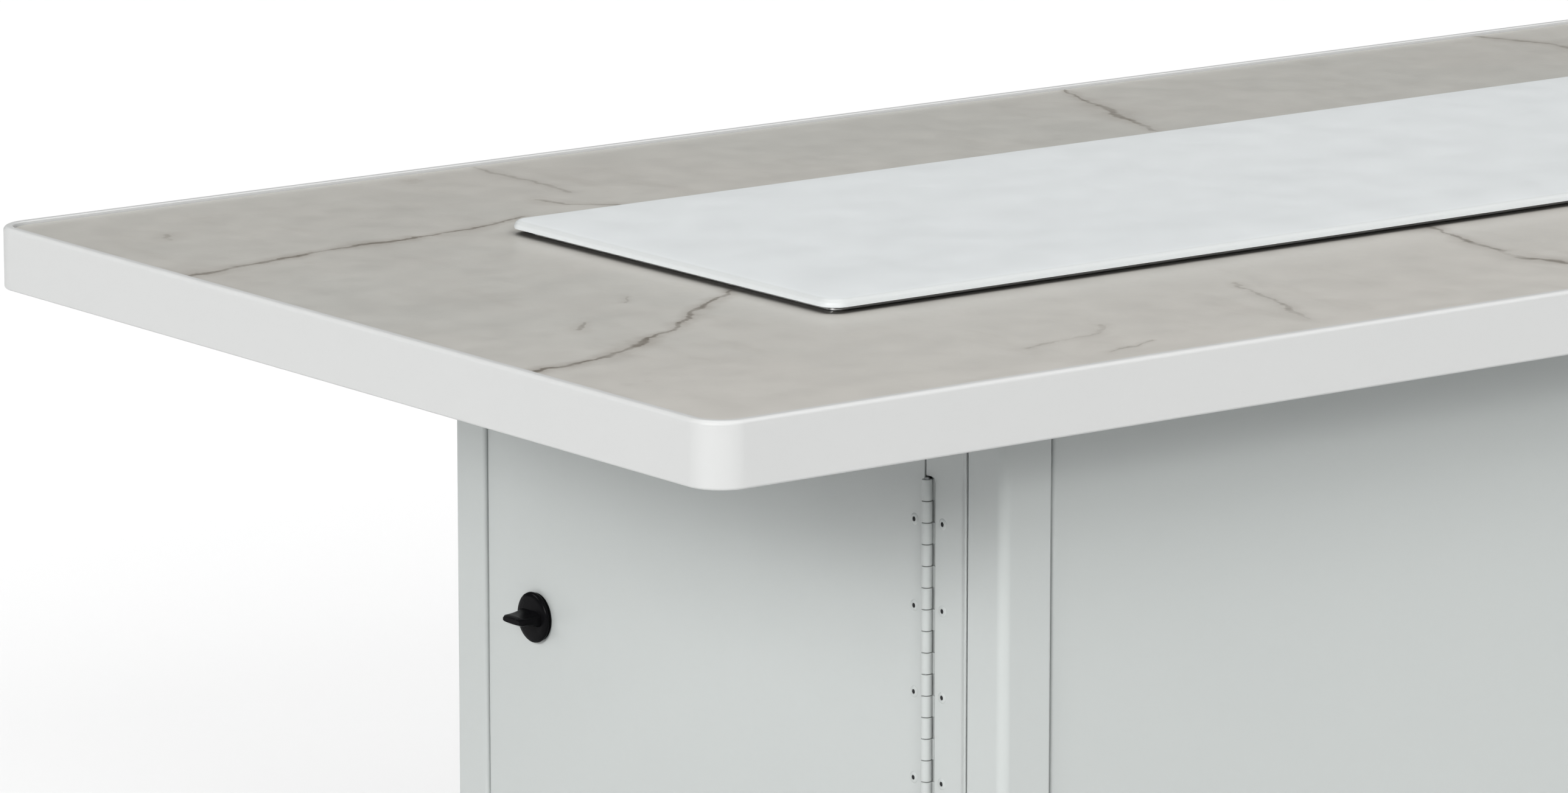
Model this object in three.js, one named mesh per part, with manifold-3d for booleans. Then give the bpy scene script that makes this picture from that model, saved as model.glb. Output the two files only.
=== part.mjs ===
// A gas fire pit table: a tiled top in a metal rim, a drop-in burner under a lift-off lid, and a sheet
// metal cabinet with an access door at one end. Millimetres, +Z up. X runs along the table, the access
// door is at its -X end, and the origin is on the ground under the middle of the table.

import * as THREE from 'three';
import { mergeVertices } from 'three/addons/utils/BufferGeometryUtils.js';
import Module from 'manifold-3d';

const wasm = await Module();
wasm.setup();

// Driving dimensions: sheet and fits
const SHEET = 1.5;
const FIT = 0.3;

// Driving dimensions: table top
const TOP_LENGTH = 1556;
const TOP_WIDTH = 729;
const TOP_HEIGHT = 610;
const RIM_HEIGHT = 38;
const RIM_CORNER = 22;
const RIM_WALL = 2;
const RIM_FLANGE = 18;
const LIP_WIDTH = 6;
const LIP_DEPTH = 12;
const LIP_EDGE = 2.5;
const RIM_FOOT_EDGE = 1.5;
const TILE_RECESS = 2;
const TILE_THICKNESS = 10;
const TILE_JOINT = 0.5;
const BOARD_THICKNESS = 8.7;
const BRACE_WIDTH = 40;
const BRACE_PLACES = [-690, -560, 560, 690];

// Driving dimensions: burner
const PAN_LENGTH = 944;
const PAN_WIDTH = 256;
const PAN_DEPTH = 76;
const PAN_CORNER = 8;
const PAN_SHEET = 1.2;
const PAN_FLANGE_END = 61;
const PAN_FLANGE_SIDE = 23;
const PAN_CLEARANCE = 6;
const BURNER_LENGTH = 864;
const BURNER_RADIUS = 9.5;
const GLASS_DEPTH = 31;
const GLASS_CHANNEL = 60;
const GLASS_CLEARANCE = 6;
const SADDLE_HALF = 6;
const STUB_RADIUS = 8;
const STUB_DROP = 22;
const IGNITER_X = 60;
const THERMOCOUPLE_X = 90;
const PROBE_Y = 20;
const PROBE_RADIUS = 3.5;
const PROBE_COLLAR = 3;
const PROBE_TIP_RADIUS = 1.2;
const PROBE_DROP = 14;

// Driving dimensions: lid
const LID_LENGTH = 1084;
const LID_WIDTH = 320;
const LID_CORNER = 12;
const LID_GAP = 4;
const LID_HEIGHT = 5.4;
const LID_CROWN = 0.8;
const LID_CROWN_WIDTH = 35;
const LID_SHEET = 2;
const LID_BEND = 3.6;
const BUMPER_RADIUS = 7;

// Driving dimensions: cabinet
const BASE_LENGTH = 1010;
const BASE_WIDTH = 542;
const BASE_BOTTOM = 14;
const POST_END_LEG = 33;
const POST_SIDE_LEG = 35.5;
const POST_BEND = 6;
const POST_RETURN = 10;
const PANEL_RECESS = 2.5;
const PANEL_GAP = 1;
const SIDE_GAP = 2.5;
const PANEL_BEND = 2.5;
const SIDE_PANEL_RETURN = 7.5;
const END_PANEL_RETURN = 12;
const STILE_FLAT_END = -230;
const STILE_STEP_SHY = 0.2;
const FLOOR_FLANGE = 20;
const SHIELD_DROP = 13;
const PARTITION_X = -150;
const TANK_CENTRE_X = -317;
const TANK_RING_RADIUS = 118;
const FOOT_X = 455;
const FOOT_Y = 240;
const FOOT_STUD_RADIUS = 4;
const FOOT_STUD_REACH = 26;
const FOOT_PAD_RADIUS = 20;
const TOP_FRAME_DROP = 25;
const HOSE_HOLE_RADIUS = 22;
const VENT_LENGTH = 60;
const VENT_HEIGHT = 6;
const VENT_LEVELS = [80, 96, 480, 496];
const VENT_PLACES = [-330, -240, 240, 330];
const FLOOR_SLOT_PLACES = [-60, 0, 60, 120, 180];
const FLOOR_SLOT_LENGTH = 240;
const FLOOR_SLOT_WIDTH = 16;

// Driving dimensions: door, hinge and latch
const DOOR_HINGE_EDGE = -196;
const DOOR_LATCH_EDGE = 237.4;
const DOOR_BOTTOM = 42;
const DOOR_TOP = 548;
const DOOR_DEPTH = 16;
const DOOR_GAP = 3;
const STOP_LAP = 8;
const DOOR_NOTCH = 12;
const STIFFENER_END = 14;
const HINGE_OUT = 1.5;
const HINGE_SIDE = 4.4;
const NOTCH_CLEARANCE = 1.2;
const NOTCH_CORNER = 3.5;
const HINGE_TOP = 515.7;
const KNUCKLE_PITCH = 12.7;
const KNUCKLE_COUNT = 35;
const KNUCKLE_GAP = 0.4;
const BARREL_RADIUS = 3.2;
const PIN_RADIUS = 1.2;
const LEAF_THICKNESS = 1;
const LEAF_WIDTH = 17.5;
const LEAF_BEYOND = 3;
const LATCH_Y = 186;
const LATCH_Z = 361.5;
const LATCH_RADIUS = 15.8;
const LATCH_DISC = 3.6;
const LATCH_PROUD = 20;
const WING_HALF_LENGTH = 11;
const LATCH_SHAFT_RADIUS = 4;
const HOUSING_RADIUS = 9.5;
const CAM_REACH = 64;
const CAM_THICKNESS = 2.5;
const KEEPER_HALF = 20;

// Driving dimensions: controls on the +X end
const CONTROL_Z = 470;
const KNOB_Y = -60;
const BUTTON_Y = 20;
const KNOB_RADIUS = 22;
const STEM_TRAVEL = 3;
const BUTTON_TRAVEL = 5;
const BUTTON_RADIUS = 7;
const BUTTON_CLEARANCE = 1.2;
const STEM_RADIUS = 4;
const STEM_HOLE = 7;
const PLATE_LENGTH = 160;
const PLATE_HEIGHT = 90;
const PLATE_THICKNESS = 2;
const VALVE_X = [440, 486];
const VALVE_HALF_WIDTH = 17;
const VALVE_HALF_HEIGHT = 15;
const OUTLET_LENGTH = 14;
const MODULE_RADIUS = 13;
const MODULE_LENGTH = 62;
const MIXER_LENGTH = 40;

// The smallest corner radius that an inset outline is drawn with
const TIGHTEST_CORNER = 2;

// Levels and faces that follow from them
const RIM_BOTTOM = TOP_HEIGHT - RIM_HEIGHT;
const LIP_BOTTOM = TOP_HEIGHT - LIP_DEPTH;
const TILE_TOP = TOP_HEIGHT - TILE_RECESS;
const TILE_BOTTOM = TILE_TOP - TILE_THICKNESS;
const BOARD_TOP = TILE_BOTTOM - FIT;
const BOARD_BOTTOM = BOARD_TOP - BOARD_THICKNESS;
const DECK_TOP = BOARD_BOTTOM - FIT;
const DECK_BOTTOM = DECK_TOP - SHEET;
const BASE_TOP = DECK_BOTTOM - FIT;
const PAN_RIM = TILE_TOP + FIT;
const PAN_BOTTOM = PAN_RIM + PAN_SHEET - PAN_DEPTH;
const GLASS_BOTTOM = PAN_BOTTOM + PAN_SHEET + FIT;
const LID_BOTTOM = TILE_TOP + LID_GAP;
const END_FACE = BASE_LENGTH / 2;
const SIDE_FACE = BASE_WIDTH / 2;
const END_PLANE = END_FACE - PANEL_RECESS;
const SIDE_PLANE = SIDE_FACE - PANEL_RECESS;
const END_INNER = END_PLANE - SHEET;
const SIDE_INNER = SIDE_PLANE - SHEET;
const SIDE_PANEL_END = END_FACE - POST_SIDE_LEG - SIDE_GAP;
const END_PANEL_EDGE = SIDE_FACE - POST_END_LEG - PANEL_GAP;
const FLOOR_X = END_FACE - 24;
const FLOOR_Y = SIDE_FACE - POST_RETURN - 1;
const HINGE_X = -END_PLANE - HINGE_OUT;
const HINGE_Y = DOOR_HINGE_EDGE - HINGE_SIDE;
const HINGE_BOTTOM = HINGE_TOP - KNUCKLE_COUNT * KNUCKLE_PITCH;
const FLOOR_TOP = BASE_BOTTOM + SHEET;
const BURNER_Z = PAN_BOTTOM + PAN_SHEET + STUB_DROP;
const STUB_BOTTOM = PAN_BOTTOM - STUB_DROP;
const SHIELD_TOP = PAN_BOTTOM - SHIELD_DROP;
const CAM_FACE = -END_PLANE + DOOR_DEPTH + 2;
const PLATE_FACE = END_PLANE + FIT + PLATE_THICKNESS;
const BUTTON_HOLE = BUTTON_RADIUS + BUTTON_CLEARANCE;

// Finishes
const finish = (color, roughness, metalness) =>
  new THREE.MeshStandardMaterial({ color, roughness, metalness });
const WHITE = finish(0xe6e8ea, 0.45, 0.0);
const TILE = finish(0xb8b4ac, 0.3, 0.0);
const BOARD = finish(0x9a9a96, 0.9, 0.0);
const GALVANISED = finish(0xa8adb0, 0.5, 0.9);
const STAINLESS = finish(0xc2c4c6, 0.35, 1.0);
const BLACK_PLASTIC = finish(0x141414, 0.25, 0.0);
const BRASS = finish(0xb08d4a, 0.35, 1.0);
const RUBBER = finish(0x1c1c1c, 0.85, 0.0);
const GLASS = finish(0x2b3134, 0.1, 0.0);
const CERAMIC = finish(0xe9e4d8, 0.4, 0.0);

const table = new THREE.Group();

function add(name, geometry, material) {
  const mesh = new THREE.Mesh(geometry, material);
  mesh.name = name;
  table.add(mesh);
}

// Basic shapes

const vector = (x, y, z) => new THREE.Vector3(x, y, z);

function block([x0, x1], [y0, y1], [z0, z1]) {
  const geometry = new THREE.BoxGeometry(x1 - x0, y1 - y0, z1 - z0);
  return geometry.translate((x0 + x1) / 2, (y0 + y1) / 2, (z0 + z1) / 2);
}

// A cylinder along an axis. centre holds its other two coordinates, in X, Y, Z order.
function rod(axis, radius, [from, to], [a, b], sides = 16) {
  const geometry = new THREE.CylinderGeometry(radius, radius, to - from, sides);
  return layAlong(axis, geometry, (from + to) / 2, a, b);
}

// A turned solid along an axis, from [radius, height] points that start and end on the axis.
function turned(axis, profile, [a, b], sides = 20) {
  const points = profile.map(([radius, height]) => new THREE.Vector2(radius, height));
  return layAlong(axis, new THREE.LatheGeometry(points, sides), 0, a, b);
}

function layAlong(axis, geometry, along, a, b) {
  if (axis === 'x') {
    return geometry.rotateZ(-Math.PI / 2).translate(along, a, b);
  }
  if (axis === 'y') {
    return geometry.translate(a, along, b);
  }
  return geometry.rotateX(Math.PI / 2).translate(a, b, along);
}

const polygon = (points) => new THREE.Shape(points.map(([u, v]) => new THREE.Vector2(u, v)));

function rectangle([u0, u1], [v0, v1]) {
  return polygon([[u0, v0], [u1, v0], [u1, v1], [u0, v1]]);
}

function roundedRectangle(length, width, radius) {
  const u = length / 2 - radius;
  const v = width / 2 - radius;
  const shape = new THREE.Shape();
  shape.absarc(u, v, radius, 0, Math.PI / 2);
  shape.absarc(-u, v, radius, Math.PI / 2, Math.PI);
  shape.absarc(-u, -v, radius, Math.PI, 1.5 * Math.PI);
  shape.absarc(u, -v, radius, 1.5 * Math.PI, 2 * Math.PI);
  return shape;
}

// A prism of an outline. The outline is drawn in (y, z) for x, in (x, z) for y and in (x, y) for z.
const PRISM_AXES = {
  x: new THREE.Matrix4().makeBasis(vector(0, 1, 0), vector(0, 0, 1), vector(1, 0, 0)),
  y: new THREE.Matrix4().makeBasis(vector(1, 0, 0), vector(0, 0, 1), vector(0, -1, 0)),
  z: new THREE.Matrix4(),
};

function prism(axis, shape, [from, to], arcSteps = 4) {
  const options = { depth: to - from, bevelEnabled: false, curveSegments: arcSteps / 2 };
  const geometry = new THREE.ExtrudeGeometry(shape, options).applyMatrix4(PRISM_AXES[axis]);
  const start = axis === 'y' ? to : from;
  return geometry.translate(axis === 'x' ? start : 0, axis === 'y' ? start : 0, axis === 'z' ? start : 0);
}

// The outline of a sheet folded along a line of points, with its thickness on the line's left.
function foldedSheet(line, thickness = SHEET) {
  const points = line.map(([u, v]) => new THREE.Vector2(u, v));
  const last = points.length - 1;
  const leftOf = (from, to) => {
    const along = to.clone().sub(from).normalize();
    return new THREE.Vector2(-along.y, along.x);
  };
  const inner = points.map((point, i) => {
    const before = leftOf(points[Math.max(i - 1, 0)], points[Math.max(i, 1)]);
    const after = leftOf(points[Math.min(i, last - 1)], points[Math.min(i + 1, last)]);
    const mitre = before.clone().add(after).normalize();
    return point.clone().addScaledVector(mitre, thickness / mitre.dot(before));
  });
  return new THREE.Shape([...points, ...inner.reverse()]);
}

// Points on an arc, as [u, v] pairs.
function arc([u, v], radius, startDegrees, endDegrees, steps) {
  return Array.from({ length: steps + 1 }, (_, k) => {
    const angle = THREE.MathUtils.degToRad(THREE.MathUtils.lerp(startDegrees, endDegrees, k / steps));
    return [u + radius * Math.cos(angle), v + radius * Math.sin(angle)];
  });
}

// A solid made by carrying a profile of [inset, height] points round a rounded rectangle. A closed
// profile makes a ring. An open one starts under the solid and ends on top of it, and is capped there.
function aroundOutline(length, width, radius, profile, closed, steps = 5) {
  const stations = [];
  for (let corner = 0; corner < 4; corner += 1) {
    const signX = corner === 0 || corner === 3 ? 1 : -1;
    const signY = corner < 2 ? 1 : -1;
    for (let step = 0; step <= steps; step += 1) {
      const angle = (corner + step / steps) * (Math.PI / 2);
      stations.push([signX, signY, Math.cos(angle), Math.sin(angle)]);
    }
  }
  const positions = [];
  for (const [signX, signY, cosine, sine] of stations) {
    for (const [inset, height] of profile) {
      const bend = Math.max(radius - inset, TIGHTEST_CORNER);
      const x = signX * (length / 2 - inset - bend) + bend * cosine;
      const y = signY * (width / 2 - inset - bend) + bend * sine;
      positions.push(x, y, height);
    }
  }
  const rows = profile.length;
  const at = (station, row) => (station % stations.length) * rows + (row % rows);
  const faces = [];
  for (let i = 0; i < stations.length; i += 1) {
    for (let j = 0; j < (closed ? rows : rows - 1); j += 1) {
      faces.push(at(i, j), at(i + 1, j), at(i + 1, j + 1));
      faces.push(at(i, j), at(i + 1, j + 1), at(i, j + 1));
    }
  }
  for (let i = 1; !closed && i < stations.length - 1; i += 1) {
    faces.push(at(0, 0), at(i + 1, 0), at(i, 0));
    faces.push(at(0, rows - 1), at(i, rows - 1), at(i + 1, rows - 1));
  }
  const geometry = new THREE.BufferGeometry();
  geometry.setAttribute('position', new THREE.Float32BufferAttribute(positions, 3));
  geometry.setIndex(faces);
  geometry.computeVertexNormals();
  return geometry;
}

// A round tube or cable along a smooth curve through points.
function cable(points, radius, steps, sides = 8) {
  const curve = new THREE.CatmullRomCurve3(points.map(([x, y, z]) => vector(x, y, z)), false, 'centripetal');
  const section = new THREE.Shape().absarc(0, 0, radius, 0, 2 * Math.PI);
  return new THREE.ExtrudeGeometry(section, { steps, extrudePath: curve, curveSegments: sides / 2 });
}

// Cutting and joining

function toSolid(geometry) {
  const bare = new THREE.BufferGeometry();
  bare.setAttribute('position', geometry.getAttribute('position').clone());
  bare.setIndex(geometry.getIndex());
  const merged = mergeVertices(bare, 1e-4);
  const vertProperties = new Float32Array(merged.getAttribute('position').array);
  const triVerts = new Uint32Array(merged.getIndex().array);
  return new wasm.Manifold(new wasm.Mesh({ numProp: 3, vertProperties, triVerts }));
}

function toGeometry(solid) {
  const { vertProperties, triVerts } = solid.getMesh();
  const geometry = new THREE.BufferGeometry();
  geometry.setAttribute('position', new THREE.Float32BufferAttribute(vertProperties, 3));
  geometry.setIndex(Array.from(triVerts));
  geometry.computeVertexNormals();
  return geometry;
}

function cut(geometry, ...tools) {
  return toGeometry(tools.reduce((solid, tool) => solid.subtract(toSolid(tool)), toSolid(geometry)));
}

function join(geometry, ...others) {
  return toGeometry(others.reduce((solid, other) => solid.add(toSolid(other)), toSolid(geometry)));
}

// Table top

const OPENING_LENGTH = PAN_LENGTH + 2 * PAN_CLEARANCE;
const OPENING_WIDTH = PAN_WIDTH + 2 * PAN_CLEARANCE;
const BURNER_OPENING = roundedRectangle(OPENING_LENGTH, OPENING_WIDTH, PAN_CORNER);

function rimFrame() {
  const profile = [
    [RIM_FLANGE, RIM_BOTTOM],
    ...arc([RIM_FOOT_EDGE, RIM_BOTTOM + RIM_FOOT_EDGE], RIM_FOOT_EDGE, 270, 180, 2),
    ...arc([LIP_EDGE, TOP_HEIGHT - LIP_EDGE], LIP_EDGE, 180, 90, 3),
    [LIP_WIDTH, TOP_HEIGHT],
    [LIP_WIDTH, LIP_BOTTOM],
    [RIM_WALL, LIP_BOTTOM],
    [RIM_WALL, RIM_BOTTOM + RIM_WALL],
    [RIM_FLANGE, RIM_BOTTOM + RIM_WALL],
  ];
  add('rim_frame', aroundOutline(TOP_LENGTH, TOP_WIDTH, RIM_CORNER, profile, true), WHITE);
}

function topLayers() {
  const inset = LIP_WIDTH + TILE_JOINT;
  const outline = roundedRectangle(TOP_LENGTH - 2 * inset, TOP_WIDTH - 2 * inset, RIM_CORNER - inset);
  outline.holes.push(BURNER_OPENING);
  add('tile_top', prism('z', outline, [TILE_BOTTOM, TILE_TOP], 6), TILE);
  add('backer_board', prism('z', outline, [BOARD_BOTTOM, BOARD_TOP]), BOARD);

  const skirtBottom = RIM_BOTTOM + RIM_WALL + FIT;
  const deckProfile = [
    [SHEET, DECK_BOTTOM],
    [SHEET, skirtBottom],
    [0, skirtBottom],
    [0, DECK_TOP],
  ];
  const deckLength = TOP_LENGTH - 2 * inset;
  const deckWidth = TOP_WIDTH - 2 * inset;
  const deck = aroundOutline(deckLength, deckWidth, RIM_CORNER - inset, deckProfile, false);
  const opening = prism('z', BURNER_OPENING, [DECK_BOTTOM - 1, DECK_TOP + 1]);
  add('top_deck', cut(deck, opening), GALVANISED);
}

// Channels under the overhanging ends of the deck, open downwards.
function deckBraces() {
  const bottom = RIM_BOTTOM + RIM_WALL + FIT;
  const half = TOP_WIDTH / 2 - LIP_WIDTH - TILE_JOINT - 2 * SHEET;
  BRACE_PLACES.forEach((x, index) => {
    const left = x - BRACE_WIDTH / 2;
    const right = x + BRACE_WIDTH / 2;
    const channel = [[left, bottom], [left, BASE_TOP], [right, BASE_TOP], [right, bottom]];
    const section = foldedSheet(channel, -SHEET);
    add(`deck_brace_${index + 1}`, prism('y', section, [-half, half]), GALVANISED);
  });
}

// Burner

function burnerPan() {
  const flangeLength = PAN_LENGTH + 2 * PAN_FLANGE_END;
  const flangeWidth = PAN_WIDTH + 2 * PAN_FLANGE_SIDE;
  const flangeOutline = roundedRectangle(flangeLength, flangeWidth, PAN_CORNER);
  const flange = prism('z', flangeOutline, [PAN_RIM, PAN_RIM + PAN_SHEET]);
  const outline = roundedRectangle(PAN_LENGTH, PAN_WIDTH, PAN_CORNER);
  const outer = prism('z', outline, [PAN_BOTTOM, PAN_RIM + PAN_SHEET / 2]);
  const hollowLength = PAN_LENGTH - 2 * PAN_SHEET;
  const hollowWidth = PAN_WIDTH - 2 * PAN_SHEET;
  const hollow = roundedRectangle(hollowLength, hollowWidth, PAN_CORNER - PAN_SHEET);
  const through = [PAN_BOTTOM - 1, PAN_BOTTOM + PAN_SHEET + 1];
  add('burner_pan', cut(
    join(flange, outer),
    prism('z', hollow, [PAN_BOTTOM + PAN_SHEET, PAN_RIM + PAN_SHEET + 1]),
    rod('z', STUB_RADIUS + FIT, through, [0, 0]),
    rod('z', PROBE_RADIUS + FIT, through, [IGNITER_X, PROBE_Y], 10),
    rod('z', PROBE_RADIUS + FIT, through, [THERMOCOUPLE_X, PROBE_Y], 10),
  ), STAINLESS);
}

// A capped tube with a threaded stub down through the pan, on two saddles.
function burnerTube() {
  const saddle = (x) => block(
    [x - SADDLE_HALF, x + SADDLE_HALF],
    [-BURNER_RADIUS, BURNER_RADIUS],
    [GLASS_BOTTOM, BURNER_Z],
  );
  add('burner_tube', join(
    rod('x', BURNER_RADIUS, [-BURNER_LENGTH / 2, BURNER_LENGTH / 2], [0, BURNER_Z], 14),
    rod('z', STUB_RADIUS, [STUB_BOTTOM, BURNER_Z], [0, 0], 14),
    saddle(-BURNER_LENGTH / 3),
    saddle(BURNER_LENGTH / 3),
  ), STAINLESS);
}

// The bed of fire glass, with a channel along it for the burner tube.
function fireGlass() {
  const length = PAN_LENGTH - 2 * PAN_SHEET - 2;
  const width = PAN_WIDTH - 2 * PAN_SHEET - 2;
  const bed = roundedRectangle(length, width, PAN_CORNER - PAN_SHEET);
  const channelEnd = BURNER_LENGTH / 2 + GLASS_CLEARANCE;
  bed.holes.push(rectangle([-channelEnd, channelEnd], [-GLASS_CHANNEL / 2, GLASS_CHANNEL / 2]));
  add('fire_glass', prism('z', bed, [GLASS_BOTTOM, GLASS_BOTTOM + GLASS_DEPTH]), GLASS);
}

// A probe that stands through the pan's floor beside the burner tube, on a hex collar.
function probe(name, x, material) {
  const bottom = PAN_BOTTOM - PROBE_DROP;
  const seat = PAN_BOTTOM + PAN_SHEET + FIT;
  const collarTop = PAN_BOTTOM + PAN_SHEET + 6;
  const tip = BURNER_Z + BURNER_RADIUS;
  add(name, turned('z', [
    [0, bottom],
    [PROBE_RADIUS, bottom],
    [PROBE_RADIUS, seat],
    [PROBE_RADIUS + PROBE_COLLAR, seat],
    [PROBE_RADIUS + PROBE_COLLAR, collarTop],
    [PROBE_RADIUS, collarTop],
    [PROBE_RADIUS, BURNER_Z],
    [PROBE_TIP_RADIUS, BURNER_Z],
    [PROBE_TIP_RADIUS, tip],
    [0, tip],
  ], [x, PROBE_Y], 6), material);
}

// Lid

// A pressed plate with a rolled edge and a shallow crown towards its flat middle.
function burnerLid() {
  const top = LID_BOTTOM + LID_HEIGHT;
  const edgeTop = top - LID_CROWN;
  const shoulder = edgeTop - LID_BEND;
  const profile = [
    [LID_CROWN_WIDTH, top - LID_SHEET],
    ...arc([LID_BEND, shoulder], LID_BEND - LID_SHEET, 90, 180, 3),
    [LID_SHEET, LID_BOTTOM],
    [0, LID_BOTTOM],
    ...arc([LID_BEND, shoulder], LID_BEND, 180, 90, 4),
    [LID_CROWN_WIDTH, top],
  ];
  add('burner_lid', aroundOutline(LID_LENGTH, LID_WIDTH, LID_CORNER, profile, false), WHITE);
}

function lidBumpers() {
  const bottom = PAN_RIM + PAN_SHEET + FIT;
  const top = LID_BOTTOM + LID_HEIGHT - LID_CROWN - LID_SHEET - FIT;
  const x = PAN_LENGTH / 2 + PAN_FLANGE_END / 2;
  const y = PAN_WIDTH / 2 + PAN_FLANGE_SIDE / 2;
  [[-x, -y], [x, -y], [x, y], [-x, y]].forEach((place, index) => {
    add(`lid_bumper_${index + 1}`, rod('z', BUMPER_RADIUS, [bottom, top], place, 12), RUBBER);
  });
}

// Cabinet

// An angle bent round a corner of the cabinet, with a return down each free edge. The signs say which corner.
function cornerPost(name, signX, signY) {
  const endEdge = SIDE_FACE - POST_END_LEG;
  const sideEdge = END_FACE - POST_SIDE_LEG;
  const line = [
    [END_FACE - POST_RETURN, endEdge],
    [END_FACE, endEdge],
    ...arc([END_FACE - POST_BEND, SIDE_FACE - POST_BEND], POST_BEND, 0, 90, 4),
    [sideEdge, SIDE_FACE],
    [sideEdge, SIDE_FACE - POST_RETURN],
  ];
  const placed = line.map(([x, y]) => [signX * x, signY * y]);
  const section = foldedSheet(placed, signX * signY * SHEET);
  add(name, prism('z', section, [BASE_BOTTOM, BASE_TOP]), WHITE);
}

// The section of a panel whose two ends turn in round a bend, as [along, depth] from its outer face.
function panelSection(half, depth) {
  const bend = (side) => arc([side * (half - PANEL_BEND), PANEL_BEND], PANEL_BEND, 270, 270 + side * 90, 3);
  return [[-half, depth], ...bend(-1).reverse(), ...bend(1), [half, depth]];
}

// A long side, between the returns of its posts.
function sidePanel(sign, ...cuts) {
  const section = panelSection(SIDE_PANEL_END, SIDE_PANEL_RETURN);
  const line = section.map(([along, depth]) => [along, sign * (SIDE_PLANE - depth)]);
  const panel = prism('z', foldedSheet(line, -sign * SHEET), [BASE_BOTTOM, BASE_TOP]);
  return cuts.length ? cut(panel, ...cuts) : panel;
}

// Rows of ventilation slots for the back panel.
function backVents() {
  const through = [SIDE_INNER - 1, SIDE_PLANE + 1];
  return VENT_LEVELS.flatMap((z) => VENT_PLACES.map((x) => {
    const spanX = [x - VENT_LENGTH / 2, x + VENT_LENGTH / 2];
    return block(spanX, through, [z, z + VENT_HEIGHT]);
  }));
}

function rightEndPanel() {
  const section = panelSection(END_PANEL_EDGE, END_PANEL_RETURN);
  const line = section.map(([along, depth]) => [END_PLANE - depth, along]);
  const panel = prism('z', foldedSheet(line), [BASE_BOTTOM, BASE_TOP]);
  const through = [END_INNER - 1, END_PLANE + 1];
  add('right_end_panel', cut(
    panel,
    rod('x', STEM_HOLE, through, [KNOB_Y, CONTROL_Z]),
    rod('x', BUTTON_HOLE, through, [BUTTON_Y, CONTROL_Z]),
  ), WHITE);
}

// A tray with its flanges turned up or down from a plate.
function tray(halfX, halfY, [plateFrom, plateTo], [flangeFrom, flangeTo]) {
  const from = Math.min(plateFrom, flangeFrom);
  const to = Math.max(plateTo, flangeTo);
  const flangeUp = flangeTo > plateTo;
  const hollowZ = flangeUp ? [plateTo, to + 1] : [from - 1, plateFrom];
  return cut(
    block([-halfX, halfX], [-halfY, halfY], [from, to]),
    block([-halfX + SHEET, halfX - SHEET], [-halfY + SHEET, halfY - SHEET], hollowZ),
  );
}

function floorPan() {
  const pan = tray(FLOOR_X, FLOOR_Y, [BASE_BOTTOM, FLOOR_TOP], [BASE_BOTTOM, BASE_BOTTOM + FLOOR_FLANGE]);
  const through = [BASE_BOTTOM - 1, FLOOR_TOP + 1];
  const holes = footPlaces().map((place) => rod('z', FOOT_STUD_RADIUS + 0.5, through, place, 12));
  for (const x of FLOOR_SLOT_PLACES) {
    const spanX = [x - FLOOR_SLOT_WIDTH / 2, x + FLOOR_SLOT_WIDTH / 2];
    holes.push(block(spanX, [-FLOOR_SLOT_LENGTH / 2, FLOOR_SLOT_LENGTH / 2], through));
  }
  add('floor_pan', cut(pan, ...holes), GALVANISED);
}

function baseTopFrame() {
  const top = tray(FLOOR_X, FLOOR_Y, [BASE_TOP - SHEET, BASE_TOP], [BASE_TOP - TOP_FRAME_DROP, BASE_TOP]);
  const endFlange = 5.5;
  const sideFlange = 30;
  const spanX = [-FLOOR_X + endFlange, FLOOR_X - endFlange];
  const spanY = [-FLOOR_Y + sideFlange, FLOOR_Y - sideFlange];
  add('base_top_frame', cut(top, block(spanX, spanY, [BASE_TOP - SHEET - 1, BASE_TOP + 1])), GALVANISED);
}

// The wall between the gas cylinder and the burner's gas train, with a hole for the hose.
function partitionPanel() {
  const edge = SIDE_INNER - FIT;
  const lip = PARTITION_X + SHEET + 12;
  const line = [[lip, edge], [PARTITION_X, edge], [PARTITION_X, -edge], [lip, -edge]];
  const bottom = BASE_BOTTOM + FLOOR_FLANGE + FIT;
  const wall = prism('z', foldedSheet(line), [bottom, SHIELD_TOP]);
  const hosePassage = rod('x', HOSE_HOLE_RADIUS, [PARTITION_X - 1, PARTITION_X + SHEET + 1], [0, 90], 20);
  add('partition_panel', cut(wall, hosePassage), GALVANISED);
}

function heatShield() {
  const edge = SIDE_INNER - FIT;
  const bottom = SHIELD_TOP - 10;
  const line = [[-edge, bottom], [-edge, SHIELD_TOP], [edge, SHIELD_TOP], [edge, bottom]];
  const section = foldedSheet(line, -SHEET);
  add('heat_shield', prism('x', section, [-SIDE_PANEL_END + 4, PARTITION_X - FIT]), GALVANISED);
}

// The low ring that keeps a gas cylinder in place.
function tankRing() {
  const bottom = FLOOR_TOP + FIT;
  const outer = rod('z', TANK_RING_RADIUS, [bottom, bottom + 18], [TANK_CENTRE_X, 0], 24);
  const inner = rod('z', TANK_RING_RADIUS - 2, [bottom - 1, bottom + 19], [TANK_CENTRE_X, 0], 24);
  add('tank_ring', cut(outer, inner), GALVANISED);
}

function footPlaces() {
  return [[-FOOT_X, -FOOT_Y], [FOOT_X, -FOOT_Y], [FOOT_X, FOOT_Y], [-FOOT_X, FOOT_Y]];
}

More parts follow.
